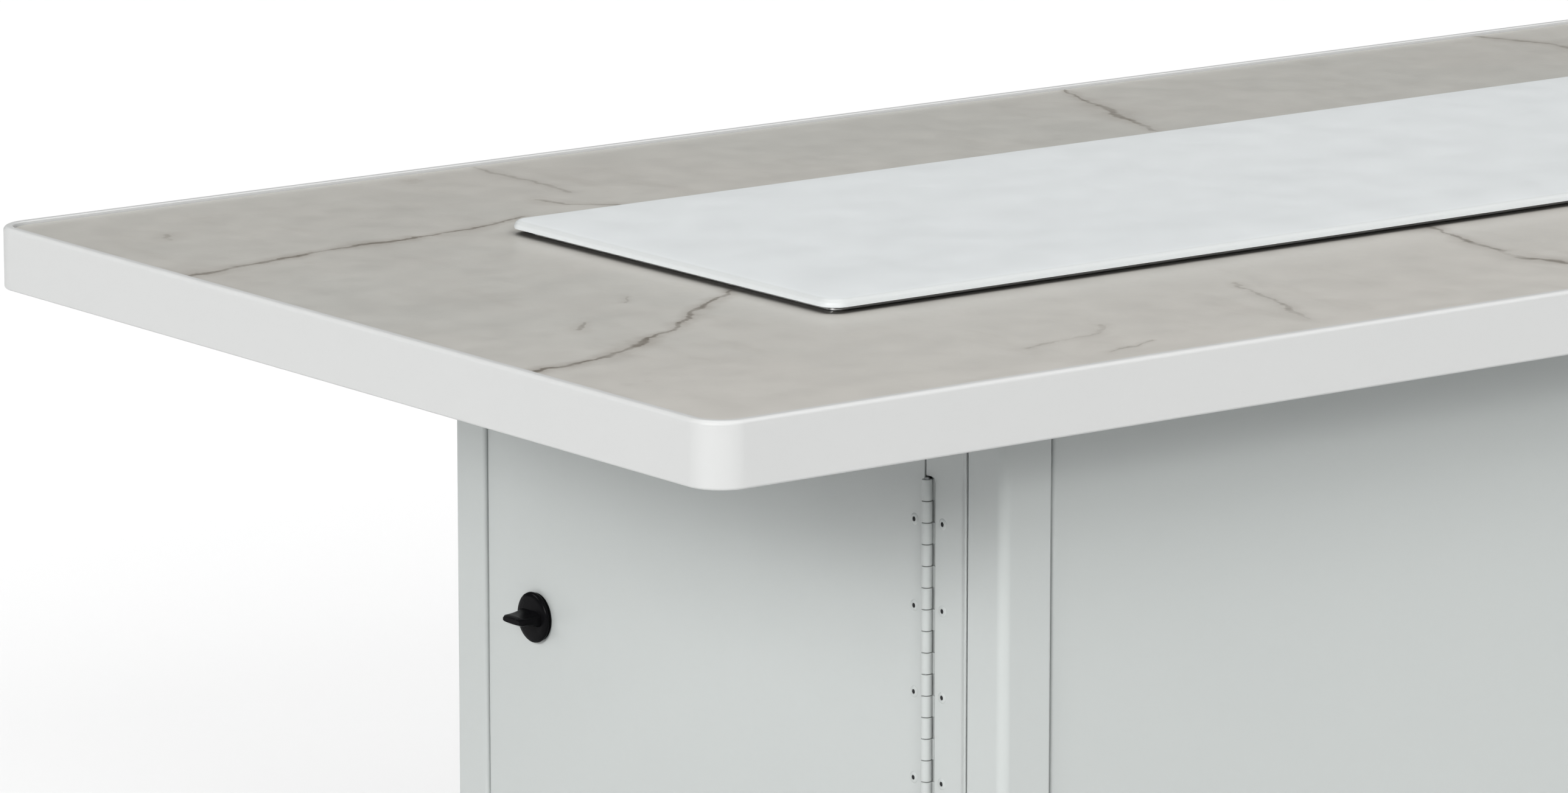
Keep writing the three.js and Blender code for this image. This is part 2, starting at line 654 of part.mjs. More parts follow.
function levellingFeet() {
  const neck = BASE_BOTTOM - 2;
  const profile = [
    [0, 0],
    [FOOT_PAD_RADIUS, 0],
    [FOOT_PAD_RADIUS, 4],
    [FOOT_STUD_RADIUS + 3, 8],
    [FOOT_STUD_RADIUS + 3, neck],
    [FOOT_STUD_RADIUS, neck],
    [FOOT_STUD_RADIUS, BASE_BOTTOM + FOOT_STUD_REACH],
    [0, BASE_BOTTOM + FOOT_STUD_REACH],
  ];
  footPlaces().forEach((place, index) => {
    add(`levelling_foot_${index + 1}`, turned('z', profile, place, 16), BLACK_PLASTIC);
  });
}

// Door end

// The strip beside the door. It steps out beside the post, and has a notch for the hinge's barrel.
function hingeStile() {
  const doorSide = DOOR_HINGE_EDGE - 1.4;
  const postSide = -(SIDE_FACE - POST_END_LEG - PANEL_GAP);
  const rise = (PANEL_RECESS - STILE_STEP_SHY) / 2;
  const step = Array.from({ length: 9 }, (_, k) => {
    const share = k / 8;
    const out = rise * (1 - Math.cos(Math.PI * share));
    return [-END_PLANE - out, THREE.MathUtils.lerp(STILE_FLAT_END, postSide, share)];
  });
  const notchSide = HINGE_Y - HINGE_SIDE - NOTCH_CLEARANCE + NOTCH_CORNER;
  const notchTop = HINGE_TOP + NOTCH_CLEARANCE;
  const notchBottom = HINGE_BOTTOM - NOTCH_CLEARANCE;
  const notch = polygon([
    [doorSide + 1, notchBottom],
    ...arc([notchSide, notchBottom + NOTCH_CORNER], NOTCH_CORNER, 270, 180, 3),
    ...arc([notchSide, notchTop - NOTCH_CORNER], NOTCH_CORNER, 180, 90, 3),
    [doorSide + 1, notchTop],
  ]);
  add('hinge_stile', cut(
    prism('z', foldedSheet([[-END_PLANE, doorSide], ...step]), [BASE_BOTTOM, BASE_TOP]),
    prism('x', notch, [-END_PLANE - 1, -END_INNER + 1]),
  ), WHITE);
}

// The strips above and below the door. Each turns in and laps behind the door as its stop.
function doorStops() {
  const span = [DOOR_HINGE_EDGE + 0.5, END_PANEL_EDGE];
  const back = -END_PLANE + DOOR_DEPTH + 1 + SHEET;
  const header = [
    [-END_PLANE, BASE_TOP],
    [-END_PLANE, DOOR_TOP + DOOR_GAP],
    [back - SHEET, DOOR_TOP + DOOR_GAP],
    [back - SHEET, DOOR_TOP - STOP_LAP],
  ];
  const sill = [
    [-END_PLANE, BASE_BOTTOM],
    [-END_PLANE, DOOR_BOTTOM - DOOR_GAP],
    [back - SHEET, DOOR_BOTTOM - DOOR_GAP],
    [back - SHEET, DOOR_BOTTOM + STOP_LAP],
  ];
  add('door_header', prism('y', foldedSheet(header), span), WHITE);
  add('door_sill', prism('y', foldedSheet(sill, -SHEET), span), WHITE);
}

// The door is a sheet with returns along its top, bottom and latch edges.
function accessDoor() {
  const outer = block(
    [-END_PLANE, -END_PLANE + DOOR_DEPTH],
    [DOOR_HINGE_EDGE, DOOR_LATCH_EDGE],
    [DOOR_BOTTOM, DOOR_TOP],
  );
  const hollow = block(
    [-END_INNER, -END_PLANE + DOOR_DEPTH + 1],
    [DOOR_HINGE_EDGE - 1, DOOR_LATCH_EDGE - SHEET],
    [DOOR_BOTTOM + SHEET, DOOR_TOP - SHEET],
  );
  const notch = block(
    [-END_INNER, -END_PLANE + DOOR_DEPTH + 1],
    [DOOR_HINGE_EDGE - 1, DOOR_HINGE_EDGE + DOOR_NOTCH],
    [DOOR_BOTTOM - 1, DOOR_TOP + 1],
  );
  const latchHole = rod('x', HOUSING_RADIUS + FIT, [-END_PLANE - 1, -END_INNER + 1], [LATCH_Y, LATCH_Z]);
  add('access_door', cut(outer, hollow, notch, latchHole), WHITE);

  const near = -END_INNER + FIT;
  const far = -END_PLANE + DOOR_DEPTH - 2;
  const hat = [[near, -50], [near, -30], [far, -30], [far, 30], [near, 30], [near, 50]];
  const span = [DOOR_BOTTOM + STIFFENER_END, DOOR_TOP - STIFFENER_END];
  add('door_stiffener', prism('z', foldedSheet(hat, -SHEET), span), GALVANISED);
}

// One leaf of the continuous hinge. side is -1 for the frame's leaf and 1 for the door's, which have
// the even and the odd knuckles. The frame's leaf also closes the stile's notch behind the barrel.
function hingeLeaf(name, side) {
  const leafX = [-END_INNER + FIT, -END_INNER + FIT + LEAF_THICKNESS];
  const near = side < 0 ? HINGE_Y - 0.5 : HINGE_Y + BARREL_RADIUS + FIT;
  const far = HINGE_Y + side * LEAF_WIDTH;
  const beyond = side < 0 ? LEAF_BEYOND : 0;
  const span = (a, b) => [Math.min(a, b), Math.max(a, b)];
  const parts = [];
  for (let index = side < 0 ? 0 : 1; index < KNUCKLE_COUNT; index += 2) {
    const top = HINGE_TOP - index * KNUCKLE_PITCH;
    const knuckle = [top - KNUCKLE_PITCH + KNUCKLE_GAP / 2, top - KNUCKLE_GAP / 2];
    parts.push(rod('z', BARREL_RADIUS, knuckle, [HINGE_X, HINGE_Y], 8));
    parts.push(block([HINGE_X + 1, leafX[1]], span(HINGE_Y, near + side * 0.1), knuckle));
  }
  const strip = block(leafX, span(near, far), [HINGE_BOTTOM - beyond, HINGE_TOP + beyond]);
  const pinHole = rod('z', PIN_RADIUS * 1.3, [HINGE_BOTTOM - 1, HINGE_TOP + 1], [HINGE_X, HINGE_Y], 6);
  add(name, cut(join(strip, ...parts), pinHole), GALVANISED);
}

function hingePin() {
  const span = [HINGE_BOTTOM - 0.5, HINGE_TOP + 0.5];
  add('hinge_pin', rod('z', PIN_RADIUS, span, [HINGE_X, HINGE_Y], 8), STAINLESS);
}

// Quarter-turn latch

function latch() {
  const flangeFace = -END_PLANE - FIT - 1.2;
  const discBack = flangeFace - FIT;
  const discFace = discBack - LATCH_DISC;
  const tip = -END_PLANE - LATCH_PROUD;
  const wing = polygon([
    [discFace + 0.5, -5],
    [discFace - 1.5, -3.4],
    [discFace - 5, -2.9],
    [tip + 1.2, -2.7],
    [tip, -1.5],
    [tip, 1.5],
    [tip + 1.2, 2.7],
    [discFace - 5, 2.9],
    [discFace - 1.5, 3.4],
    [discFace + 0.5, 5],
  ]);
  const placed = prism('y', wing, [-WING_HALF_LENGTH, WING_HALF_LENGTH]).translate(0, LATCH_Y, LATCH_Z);
  add('latch_knob', join(
    rod('x', LATCH_RADIUS, [discFace, discBack], [LATCH_Y, LATCH_Z], 28),
    placed,
    rod('x', LATCH_SHAFT_RADIUS, [discBack - 1, CAM_FACE + CAM_THICKNESS + 1], [LATCH_Y, LATCH_Z], 12),
  ), BLACK_PLASTIC);

  const bore = rod('x', LATCH_SHAFT_RADIUS + FIT, [flangeFace - 1, CAM_FACE], [LATCH_Y, LATCH_Z], 12);
  add('latch_housing', cut(join(
    rod('x', LATCH_RADIUS - 0.8, [flangeFace, -END_PLANE - FIT], [LATCH_Y, LATCH_Z], 24),
    rod('x', HOUSING_RADIUS, [flangeFace, CAM_FACE - FIT], [LATCH_Y, LATCH_Z], 16),
  ), bore), BLACK_PLASTIC);

  const nutX = [-END_INNER + FIT, -END_INNER + FIT + 5];
  add('latch_nut', cut(
    rod('x', HOUSING_RADIUS + 5, nutX, [LATCH_Y, LATCH_Z], 6),
    rod('x', HOUSING_RADIUS + FIT, [nutX[0] - 1, nutX[1] + 1], [LATCH_Y, LATCH_Z], 16),
  ), GALVANISED);
}

// The cam hangs down while the latch is released, and turns towards the post to hold the door.
function latchCam() {
  const half = 9;
  const outline = polygon([
    ...arc([LATCH_Y, LATCH_Z], half, 0, 180, 6),
    ...arc([LATCH_Y, LATCH_Z - CAM_REACH + half], half, 180, 360, 6),
  ]);
  const plate = prism('x', outline, [CAM_FACE, CAM_FACE + CAM_THICKNESS]);
  const through = [CAM_FACE - 1, CAM_FACE + CAM_THICKNESS + 1];
  const eye = rod('x', LATCH_SHAFT_RADIUS + FIT, through, [LATCH_Y, LATCH_Z], 12);
  add('latch_cam', cut(plate, eye), GALVANISED);
}

// The bracket on the post that the cam turns behind.
function latchKeeper() {
  const postInner = -END_FACE + SHEET + FIT;
  const lipFace = CAM_FACE - 1.5 - SHEET;
  const fixed = SIDE_FACE - POST_END_LEG + 2;
  const line = [[postInner, fixed + 22], [postInner, fixed + 11], [lipFace, fixed + 11], [lipFace, fixed - 0.5]];
  const span = [LATCH_Z - KEEPER_HALF, LATCH_Z + KEEPER_HALF];
  add('latch_keeper', prism('z', foldedSheet(line), span), GALVANISED);
}

// Controls and gas train

function controlPlate() {
  const middleY = (KNOB_Y + BUTTON_Y) / 2;
  const outline = roundedRectangle(PLATE_LENGTH, PLATE_HEIGHT, 6);
  const plate = prism('x', outline, [END_PLANE + FIT, PLATE_FACE]).translate(0, middleY, CONTROL_Z);
  const through = [END_PLANE, PLATE_FACE + 1];
  add('control_plate', cut(
    plate,
    rod('x', STEM_HOLE, through, [KNOB_Y, CONTROL_Z]),
    rod('x', BUTTON_HOLE, through, [BUTTON_Y, CONTROL_Z]),
  ), STAINLESS);
}

function gasValve() {
  const spanY = [KNOB_Y - VALVE_HALF_WIDTH, KNOB_Y + VALVE_HALF_WIDTH];
  const body = block(VALVE_X, spanY, [CONTROL_Z - VALVE_HALF_HEIGHT, CONTROL_Z + VALVE_HALF_HEIGHT]);
  const neck = rod('x', 10, [VALVE_X[1] - 2, VALVE_X[1] + 10], [KNOB_Y, CONTROL_Z], 14);
  const outlet = rod('x', 8, [VALVE_X[0] - OUTLET_LENGTH, VALVE_X[0] + 2], [KNOB_Y, CONTROL_Z], 14);
  const bore = rod('x', STEM_RADIUS + FIT, [VALVE_X[1] - 20, VALVE_X[1] + 11], [KNOB_Y, CONTROL_Z], 12);
  add('gas_valve', cut(join(body, neck, outlet), bore), BRASS);

  const inletTop = CONTROL_Z - VALVE_HALF_HEIGHT - FIT;
  add('inlet_fitting', turned('z', [
    [0, inletTop - 34],
    [5, inletTop - 34],
    [8, inletTop - 28],
    [8, inletTop - 14],
    [11, inletTop - 14],
    [11, inletTop - 4],
    [7, inletTop - 4],
    [7, inletTop],
    [0, inletTop],
  ], [VALVE_X[0] + 20, KNOB_Y], 12), BRASS);
}

function controlKnob() {
  const back = PLATE_FACE + STEM_TRAVEL + 0.7;
  const stem = [VALVE_X[1] - 20 + STEM_TRAVEL + 1, back - FIT];
  add('valve_stem', rod('x', STEM_RADIUS, stem, [KNOB_Y, CONTROL_Z], 12), STAINLESS);

  const skirt = 6;
  const body = turned('x', [
    [0, back],
    [KNOB_RADIUS, back],
    [KNOB_RADIUS, back + skirt - 2],
    [KNOB_RADIUS - 2, back + skirt],
    [0, back + skirt],
  ], [KNOB_Y, CONTROL_Z], 24);
  const grip = prism('x', roundedRectangle(12, 2 * KNOB_RADIUS - 4, 5), [back + skirt - 1, back + 22]);
  add('control_knob', join(body, grip.translate(0, KNOB_Y, CONTROL_Z)), BLACK_PLASTIC);
}

function igniter() {
  const moduleFace = END_INNER - FIT;
  const boreEnd = moduleFace - 22;
  add('igniter_module', cut(
    rod('x', MODULE_RADIUS, [moduleFace - MODULE_LENGTH, moduleFace], [BUTTON_Y, CONTROL_Z], 16),
    rod('x', BUTTON_RADIUS + FIT, [boreEnd, moduleFace + 1], [BUTTON_Y, CONTROL_Z], 16),
  ), BLACK_PLASTIC);

  const capBack = PLATE_FACE + BUTTON_TRAVEL + 0.5;
  add('igniter_button', turned('x', [
    [0, boreEnd + BUTTON_TRAVEL + 1],
    [BUTTON_RADIUS, boreEnd + BUTTON_TRAVEL + 1],
    [BUTTON_RADIUS, capBack],
    [BUTTON_RADIUS + 3, capBack],
    [BUTTON_RADIUS + 3, capBack + 2],
    [BUTTON_RADIUS + 1.5, capBack + 4],
    [0, capBack + 4],
  ], [BUTTON_Y, CONTROL_Z], 20), BLACK_PLASTIC);
}

// The mixer on the burner's stub, and the lines from the valve and the igniter up to the burner.
function gasLines() {
  const mixerTop = STUB_BOTTOM - FIT;
  const mixerBottom = mixerTop - MIXER_LENGTH;
  add('air_mixer', turned('z', [
    [0, mixerBottom],
    [6, mixerBottom],
    [9, mixerBottom + 8],
    [9, mixerBottom + 14],
    [12, mixerBottom + 18],
    [12, mixerTop],
    [0, mixerTop],
  ], [0, 0], 14), BRASS);

  const lineEnd = VALVE_X[0] - OUTLET_LENGTH - FIT;
  const lineStart = mixerBottom - FIT;
  add('flex_gas_line', cable([
    [0, 0, lineStart],
    [0, 0, lineStart - 12],
    [24, -6, lineStart - 32],
    [110, -22, lineStart - 26],
    [250, -44, lineStart + 2],
    [370, KNOB_Y, CONTROL_Z],
    [lineEnd - 20, KNOB_Y, CONTROL_Z],
    [lineEnd, KNOB_Y, CONTROL_Z],
  ], 6, 36), GALVANISED);

  const moduleBack = END_INNER - FIT - MODULE_LENGTH;
  const probeBottom = PAN_BOTTOM - PROBE_DROP - FIT;
  add('ignition_lead', cable([
    [IGNITER_X, PROBE_Y, probeBottom],
    [IGNITER_X, PROBE_Y, probeBottom - 10],
    [IGNITER_X + 30, PROBE_Y + 8, probeBottom - 26],
    [230, 48, probeBottom - 30],
    [380, 34, CONTROL_Z + 6],
    [moduleBack - 10 - FIT, BUTTON_Y, CONTROL_Z],
    [moduleBack - FIT, BUTTON_Y, CONTROL_Z],
  ], 1.5, 36, 6), BLACK_PLASTIC);

  const valveTop = CONTROL_Z + VALVE_HALF_HEIGHT + FIT;
  add('thermocouple_lead', cable([
    [THERMOCOUPLE_X, PROBE_Y, probeBottom],
    [THERMOCOUPLE_X, PROBE_Y, probeBottom - 8],
    [THERMOCOUPLE_X + 34, PROBE_Y - 6, probeBottom - 18],
    [250, 0, probeBottom - 12],
    [VALVE_X[0] + 24, KNOB_Y + 10, valveTop + 26],
    [VALVE_X[0] + 30, KNOB_Y, valveTop + 10],
    [VALVE_X[0] + 30, KNOB_Y, valveTop],
  ], 1.2, 36, 6), BRASS);
}

rimFrame();
topLayers();
deckBraces();
burnerPan();
burnerTube();
fireGlass();
probe('igniter_probe', IGNITER_X, CERAMIC);
probe('thermocouple', THERMOCOUPLE_X, BRASS);
burnerLid();
lidBumpers();
cornerPost('post_front_left', -1, -1);
cornerPost('post_front_right', 1, -1);
cornerPost('post_back_left', -1, 1);
cornerPost('post_back_right', 1, 1);
add('front_panel', sidePanel(-1), WHITE);
add('back_panel', sidePanel(1, ...backVents()), WHITE);
rightEndPanel();
floorPan();
baseTopFrame();
partitionPanel();
heatShield();
tankRing();
levellingFeet();
hingeStile();
doorStops();
accessDoor();
hingeLeaf('hinge_leaf_frame', -1);
hingeLeaf('hinge_leaf_door', 1);
hingePin();
latch();
latchCam();
latchKeeper();
controlPlate();
gasValve();
controlKnob();
igniter();
gasLines();

export default table;
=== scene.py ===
"""The looks of the gas fire pit table, built round its CAD frame.

Lengths in the shape code are millimetres in the table's own frame, and become metres in piece().
"""

import math

import bmesh
import bpy
import numpy as np
from mathutils import Matrix, Vector


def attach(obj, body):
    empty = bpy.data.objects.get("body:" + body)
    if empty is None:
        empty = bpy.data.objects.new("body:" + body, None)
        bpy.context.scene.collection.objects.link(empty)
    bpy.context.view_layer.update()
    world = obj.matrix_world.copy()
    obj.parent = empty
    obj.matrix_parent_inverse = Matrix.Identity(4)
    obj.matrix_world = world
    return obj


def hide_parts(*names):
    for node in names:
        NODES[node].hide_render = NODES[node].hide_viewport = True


MM = 0.001
RNG = np.random.default_rng(20)

# Plates and trays as (length, width, corner radius), and the tile's underside and top.
TABLE = (1556, 729, 22)
TILE = (1543, 716, 15.5)
TILE_OPENING = (956, 268, 8)
TILE_LEVELS = (598, 608)
LID = (1084, 320, 12)

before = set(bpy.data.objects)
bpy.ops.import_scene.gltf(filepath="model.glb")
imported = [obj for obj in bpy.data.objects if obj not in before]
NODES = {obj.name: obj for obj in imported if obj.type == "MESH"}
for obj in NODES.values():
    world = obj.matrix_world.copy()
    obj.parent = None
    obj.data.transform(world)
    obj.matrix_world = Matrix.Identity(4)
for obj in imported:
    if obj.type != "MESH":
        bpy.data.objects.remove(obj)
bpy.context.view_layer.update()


# Camera

def add_camera():
    data = bpy.data.cameras.new("camera")
    data.lens = 186.15
    data.sensor_width = 36.0
    data.clip_start = 0.5
    data.clip_end = 200.0
    camera = bpy.data.objects.new("camera", data)
    bpy.context.scene.collection.objects.link(camera)
    forward = Vector((0.59059, 0.78053, -0.20484))
    camera.rotation_mode = "QUATERNION"
    camera.rotation_quaternion = forward.to_track_quat("-Z", "Y")
    camera.location = (-3.2892, -3.7462, 1.5069)
    bpy.context.scene.camera = camera


add_camera()


# Floor and light

def staged(name, points, faces, base, glow):
    """A plain paper surface of the studio, with a trace of glow or nothing but glow."""
    mesh = bpy.data.meshes.new(name)
    mesh.from_pydata(points, [], faces)
    paper = bpy.data.objects.new(name, mesh)
    bpy.context.scene.collection.objects.link(paper)
    material = bpy.data.materials.new(f"{name}_paper")
    material.use_nodes = True
    surface = material.node_tree.nodes["Principled BSDF"]
    surface.inputs["Base Color"].default_value = (base, base, base, 1)
    surface.inputs["Roughness"].default_value = 0.9
    surface.inputs["Specular IOR Level"].default_value = 0.1
    surface.inputs["Emission Color"].default_value = (1, 1, 1, 1)
    surface.inputs["Emission Strength"].default_value = glow
    mesh.materials.append(material)
    return paper


def add_stage():
    reach = 60.0
    corners = [(-reach, -reach, 0), (reach, -reach, 0), (reach, reach, 0), (-reach, reach, 0)]
    staged("floor", corners, [(0, 1, 2, 3)], 0.67, 0.06)

    # A far white wall all round. It's only there to be seen: it gives no light and no shadow.
    sides, far, top = 48, 55.0, 40.0
    angles = [2 * math.pi * i / sides for i in range(sides)]
    points = [(far * math.cos(a), far * math.sin(a), z) for z in (-1.0, top) for a in angles]
    faces = [(i, (i + 1) % sides, sides + (i + 1) % sides, sides + i) for i in range(sides)]
    wall = staged("wall", points, faces, 0.0, 1.0)
    wall.visible_diffuse = False
    wall.visible_glossy = False
    wall.visible_transmission = False
    wall.visible_shadow = False


# Distant soft lights: the way towards each, its width in degrees, and how bright it makes a white card.
STUDIO = [
    ("overhead", (0.10, 0.10, 1.00), 70, 0.56),
    ("key_left", (-0.80, -0.60, 0.42), 14, 0.29),
    ("key_right", (-0.36, -0.93, 0.42), 14, 0.31),
    ("front", (0.00, -1.00, 0.60), 16, 0.12),
    ("front_high", (0.25, -0.97, 1.10), 24, 0.20),
    ("front_right", (0.80, -0.60, 0.80), 24, 0.21),
    ("left", (-0.98, -0.20, 0.35), 16, 0.44),
    ("left_front", (-0.90, -0.43, 0.50), 16, 0.14),
    ("left_back", (-0.75, 0.66, 0.40), 20, 0.20),
]


def add_sun(name, toward, spread, share):
    data = bpy.data.lights.new(name, "SUN")
    data.energy = share * math.pi
    data.angle = math.radians(spread)
    light = bpy.data.objects.new(name, data)
    bpy.context.scene.collection.objects.link(light)
    light.rotation_mode = "QUATERNION"
    light.rotation_quaternion = (-Vector(toward)).to_track_quat("-Z", "Y")


def add_lights():
    world = bpy.data.worlds.new("studio")
    world.use_nodes = True
    background = world.node_tree.nodes["Background"]
    background.inputs["Color"].default_value = (0.97, 0.99, 1.0, 1)
    background.inputs["Strength"].default_value = 0.04
    bpy.context.scene.world = world
    for name, toward, spread, share in STUDIO:
        add_sun(name, toward, spread, share)
    bpy.context.scene.view_settings.view_transform = "Standard"


add_stage()
add_lights()


# Materials

class Finish:
    """A procedural material: a Principled surface and short ways to add nodes to it."""

    def __init__(self, name, color, roughness, **inputs):
        self.material = bpy.data.materials.new(name)
        self.material.use_nodes = True
        self.tree = self.material.node_tree
        self.surface = self.tree.nodes["Principled BSDF"]
        self.color = color
        self.surface.inputs["Base Color"].default_value = (*color, 1)
        self.surface.inputs["Roughness"].default_value = roughness
        for key, value in inputs.items():
            self.surface.inputs[key.replace("_", " ")].default_value = value
        self.place = self.node("ShaderNodeTexCoord").outputs["Object"]
        self.height = None

    def node(self, kind, **settings):
        made = self.tree.nodes.new(kind)
        for key, value in settings.items():
            setattr(made, key, value)
        return made

    def link(self, source, target):
        self.tree.links.new(source, target)
        return target

    def feed(self, socket, value):
        """Links a socket, or sets a plain number or tuple."""
        if isinstance(value, bpy.types.NodeSocket):
            self.link(value, socket)
        else:
            socket.default_value = value

    def math(self, operation, a, b=0.0, c=0.0, clamp=False):
        made = self.node("ShaderNodeMath", operation=operation, use_clamp=clamp)
        for socket, value in zip(made.inputs, (a, b, c)):
            self.feed(socket, value)
        return made.outputs[0]

    def vector(self, operation, a, b=(0, 0, 0), scale=1.0):
        made = self.node("ShaderNodeVectorMath", operation=operation)
        self.feed(made.inputs[0], a)
        self.feed(made.inputs[1], b)
        self.feed(made.inputs[3], scale)
        single = operation in ("LENGTH", "DOT_PRODUCT", "DISTANCE")
        return made.outputs[1 if single else 0]

    def axis(self, letter):
        """One coordinate of the table's own frame, in metres."""
        split = self.node("ShaderNodeSeparateXYZ")
        self.link(self.place, split.inputs[0])
        return split.outputs[letter]

    def stretched(self, factors):
        """The place with each axis scaled, which draws a noise out into grain."""
        return self.vector("MULTIPLY", self.place, factors)

    def noise(self, scale, detail=3.0, rough=0.55, place=None, colored=False):
        made = self.node("ShaderNodeTexNoise")
        made.inputs["Scale"].default_value = scale
        made.inputs["Detail"].default_value = detail
        made.inputs["Roughness"].default_value = rough
        self.link(place or self.place, made.inputs["Vector"])
        return made.outputs["Color" if colored else "Fac"]

    def cells(self, scale, feature="F1", place=None, output="Distance"):
        made = self.node("ShaderNodeTexVoronoi", feature=feature)
        made.inputs["Scale"].default_value = scale
        self.link(place or self.place, made.inputs["Vector"])
        return made.outputs[output]

    def ramp(self, value, low, high, out_low=0.0, out_high=1.0, smooth=False):
        made = self.node("ShaderNodeMapRange")
        if smooth:
            made.interpolation_type = "SMOOTHSTEP"
        self.feed(made.inputs[0], value)
        for index, number in enumerate((low, high, out_low, out_high), 1):
            made.inputs[index].default_value = number
        return made.outputs[0]

    def mix(self, amount, first, second):
        made = self.node("ShaderNodeMix", data_type="RGBA")
        self.feed(made.inputs["Factor"], amount)
        for socket, value in ((made.inputs[6], first), (made.inputs[7], second)):
            self.feed(socket, (*value, 1) if isinstance(value, tuple) else value)
        return made.outputs[2]

    def tint(self, amount, second):
        """Mixes a second colour into the surface's colour so far."""
        first = self.color
        self.color = self.mix(amount, first, second)
        self.link(self.color, self.surface.inputs["Base Color"])
        return self

    def rough(self, value, low, high):
        self.link(self.ramp(value, 0.3, 0.7, low, high), self.surface.inputs["Roughness"])
        return self

    def bump(self, value, strength, distance):
        made = self.node("ShaderNodeBump")
        made.inputs["Strength"].default_value = strength
        made.inputs["Distance"].default_value = distance
        self.link(value, made.inputs["Height"])
        if self.height:
            self.link(self.height, made.inputs["Normal"])
        self.height = made.outputs["Normal"]
        self.link(self.height, self.surface.inputs["Normal"])
        return self


def mottled_coat(name, color, shade):
    """Satin powder coat: a very fine orange peel, faint mottling and a trace of dust."""
    coat = Finish(name, color, 0.42)
    coat.tint(coat.ramp(coat.noise(2.6, 4.0), 0.35, 0.7, 0.0, 0.5), shade)
    coat.tint(coat.ramp(coat.noise(90.0, 2.0), 0.58, 0.75, 0.0, 0.12), shade)
    coat.rough(coat.noise(26.0, 3.0), 0.38, 0.48)
    coat.bump(coat.noise(520.0, 2.0), 0.10, 0.00012)
    return coat


def powder_coat(name, color, shade):
    return mottled_coat(name, color, shade).material


def lid_powder_coat():
    """The lid's coat, with painted shade over the bent edge that dims the bend's highlight."""
    coat = mottled_coat("lid_powder_coat", (0.562, 0.582, 0.586), (0.551, 0.573, 0.580))
    height = coat.axis("Z")
    # Painted shade: a greyer band over the bend of the edge, where the bend catches the most light.
    bend = coat.math("MULTIPLY", coat.ramp(height, 0.6132, 0.6150), coat.ramp(height, 0.61672, 0.6164))
    coat.tint(bend, (0.445, 0.460, 0.458))
    return coat.material


def marble_tile():
    """Honed porcelain printed as a warm grey marble. Veins follow drawn lines across the top."""
    tile = Finish("marble_tile", (0.377, 0.373, 0.349), 0.36)
    warp_wide = tile.noise(9.0, 3.0, colored=True)
    warp_fine = tile.noise(55.0, 4.0, 0.62, colored=True)
    mean = (0.5, 0.5, 0.5)
    offset = tile.vector("ADD",
                         tile.vector("SCALE", tile.vector("SUBTRACT", warp_wide, mean), scale=0.020),
                         tile.vector("SCALE", tile.vector("SUBTRACT", warp_fine, mean), scale=0.014))
    flat = tile.vector("MULTIPLY", tile.vector("ADD", tile.place, offset), (1, 1, 0))

    # Wide drifts of tone: warmer towards the front, greyer towards the back.
    cloud = tile.noise(2.3, 5.0, 0.6, place=flat)
    tile.tint(tile.ramp(cloud, 0.40, 0.66, 0.0, 0.75), (0.417, 0.402, 0.373))
    tile.tint(tile.ramp(tile.noise(5.5, 5.0, 0.62, place=flat), 0.48, 0.72, 0.0, 0.5), (0.360, 0.343, 0.317))
    across = tile.axis("Y")
    tile.tint(tile.ramp(across, 0.02, -0.34, 0.0, 0.62), (0.466, 0.448, 0.417))
    tile.tint(tile.ramp(across, 0.10, 0.36, 0.0, 0.30), (0.343, 0.336, 0.311))

    # Fine soft streaks that run across the table, and small broken smudges.
    streak = tile.noise(1.0, 6.0, 0.62, place=tile.vector("MULTIPLY", flat, (34.0, 9.0, 1.0)))
    tile.tint(tile.ramp(streak, 0.56, 0.78, 0.0, 0.30), (0.295, 0.277, 0.250))
    smudge = tile.noise(30.0, 5.0, 0.7, place=flat)
    patch = tile.noise(5.0, 2.0, place=flat)
    tile.tint(tile.math("MULTIPLY", tile.ramp(smudge, 0.60, 0.72), tile.ramp(patch, 0.54, 0.70, 0.0, 0.42)),
              (0.236, 0.212, 0.185))

    dark, soft = marble_veins(tile, flat)
    tile.tint(soft, (0.268, 0.250, 0.224))
    tile.tint(dark, (0.146, 0.132, 0.112))

    # Painted shadow on the tile under the lid, round the burner: the lid's outline and corners, half a
    # millimetre wider.
    corner = LID[2] * MM
    half_x, half_y = LID[0] / 2 * MM + 0.0005, LID[1] / 2 * MM + 0.0005
    reach = tile.vector("SUBTRACT", tile.vector("ABSOLUTE", tile.vector("MULTIPLY", tile.place, (1, 1, 0))),
                        (half_x - corner, half_y - corner, 0))
    lid_shadow_distance = tile.vector("LENGTH", tile.vector("MAXIMUM", reach, (0, 0, 0)))
    tile.tint(tile.ramp(lid_shadow_distance, corner, corner - 0.005, 0.0, 0.86, smooth=True), (0.034, 0.031, 0.026))

    tile.rough(tile.noise(40.0, 4.0), 0.31, 0.42)
    tile.bump(tile.noise(210.0, 3.0), 0.05, 0.00015)
    return tile.material


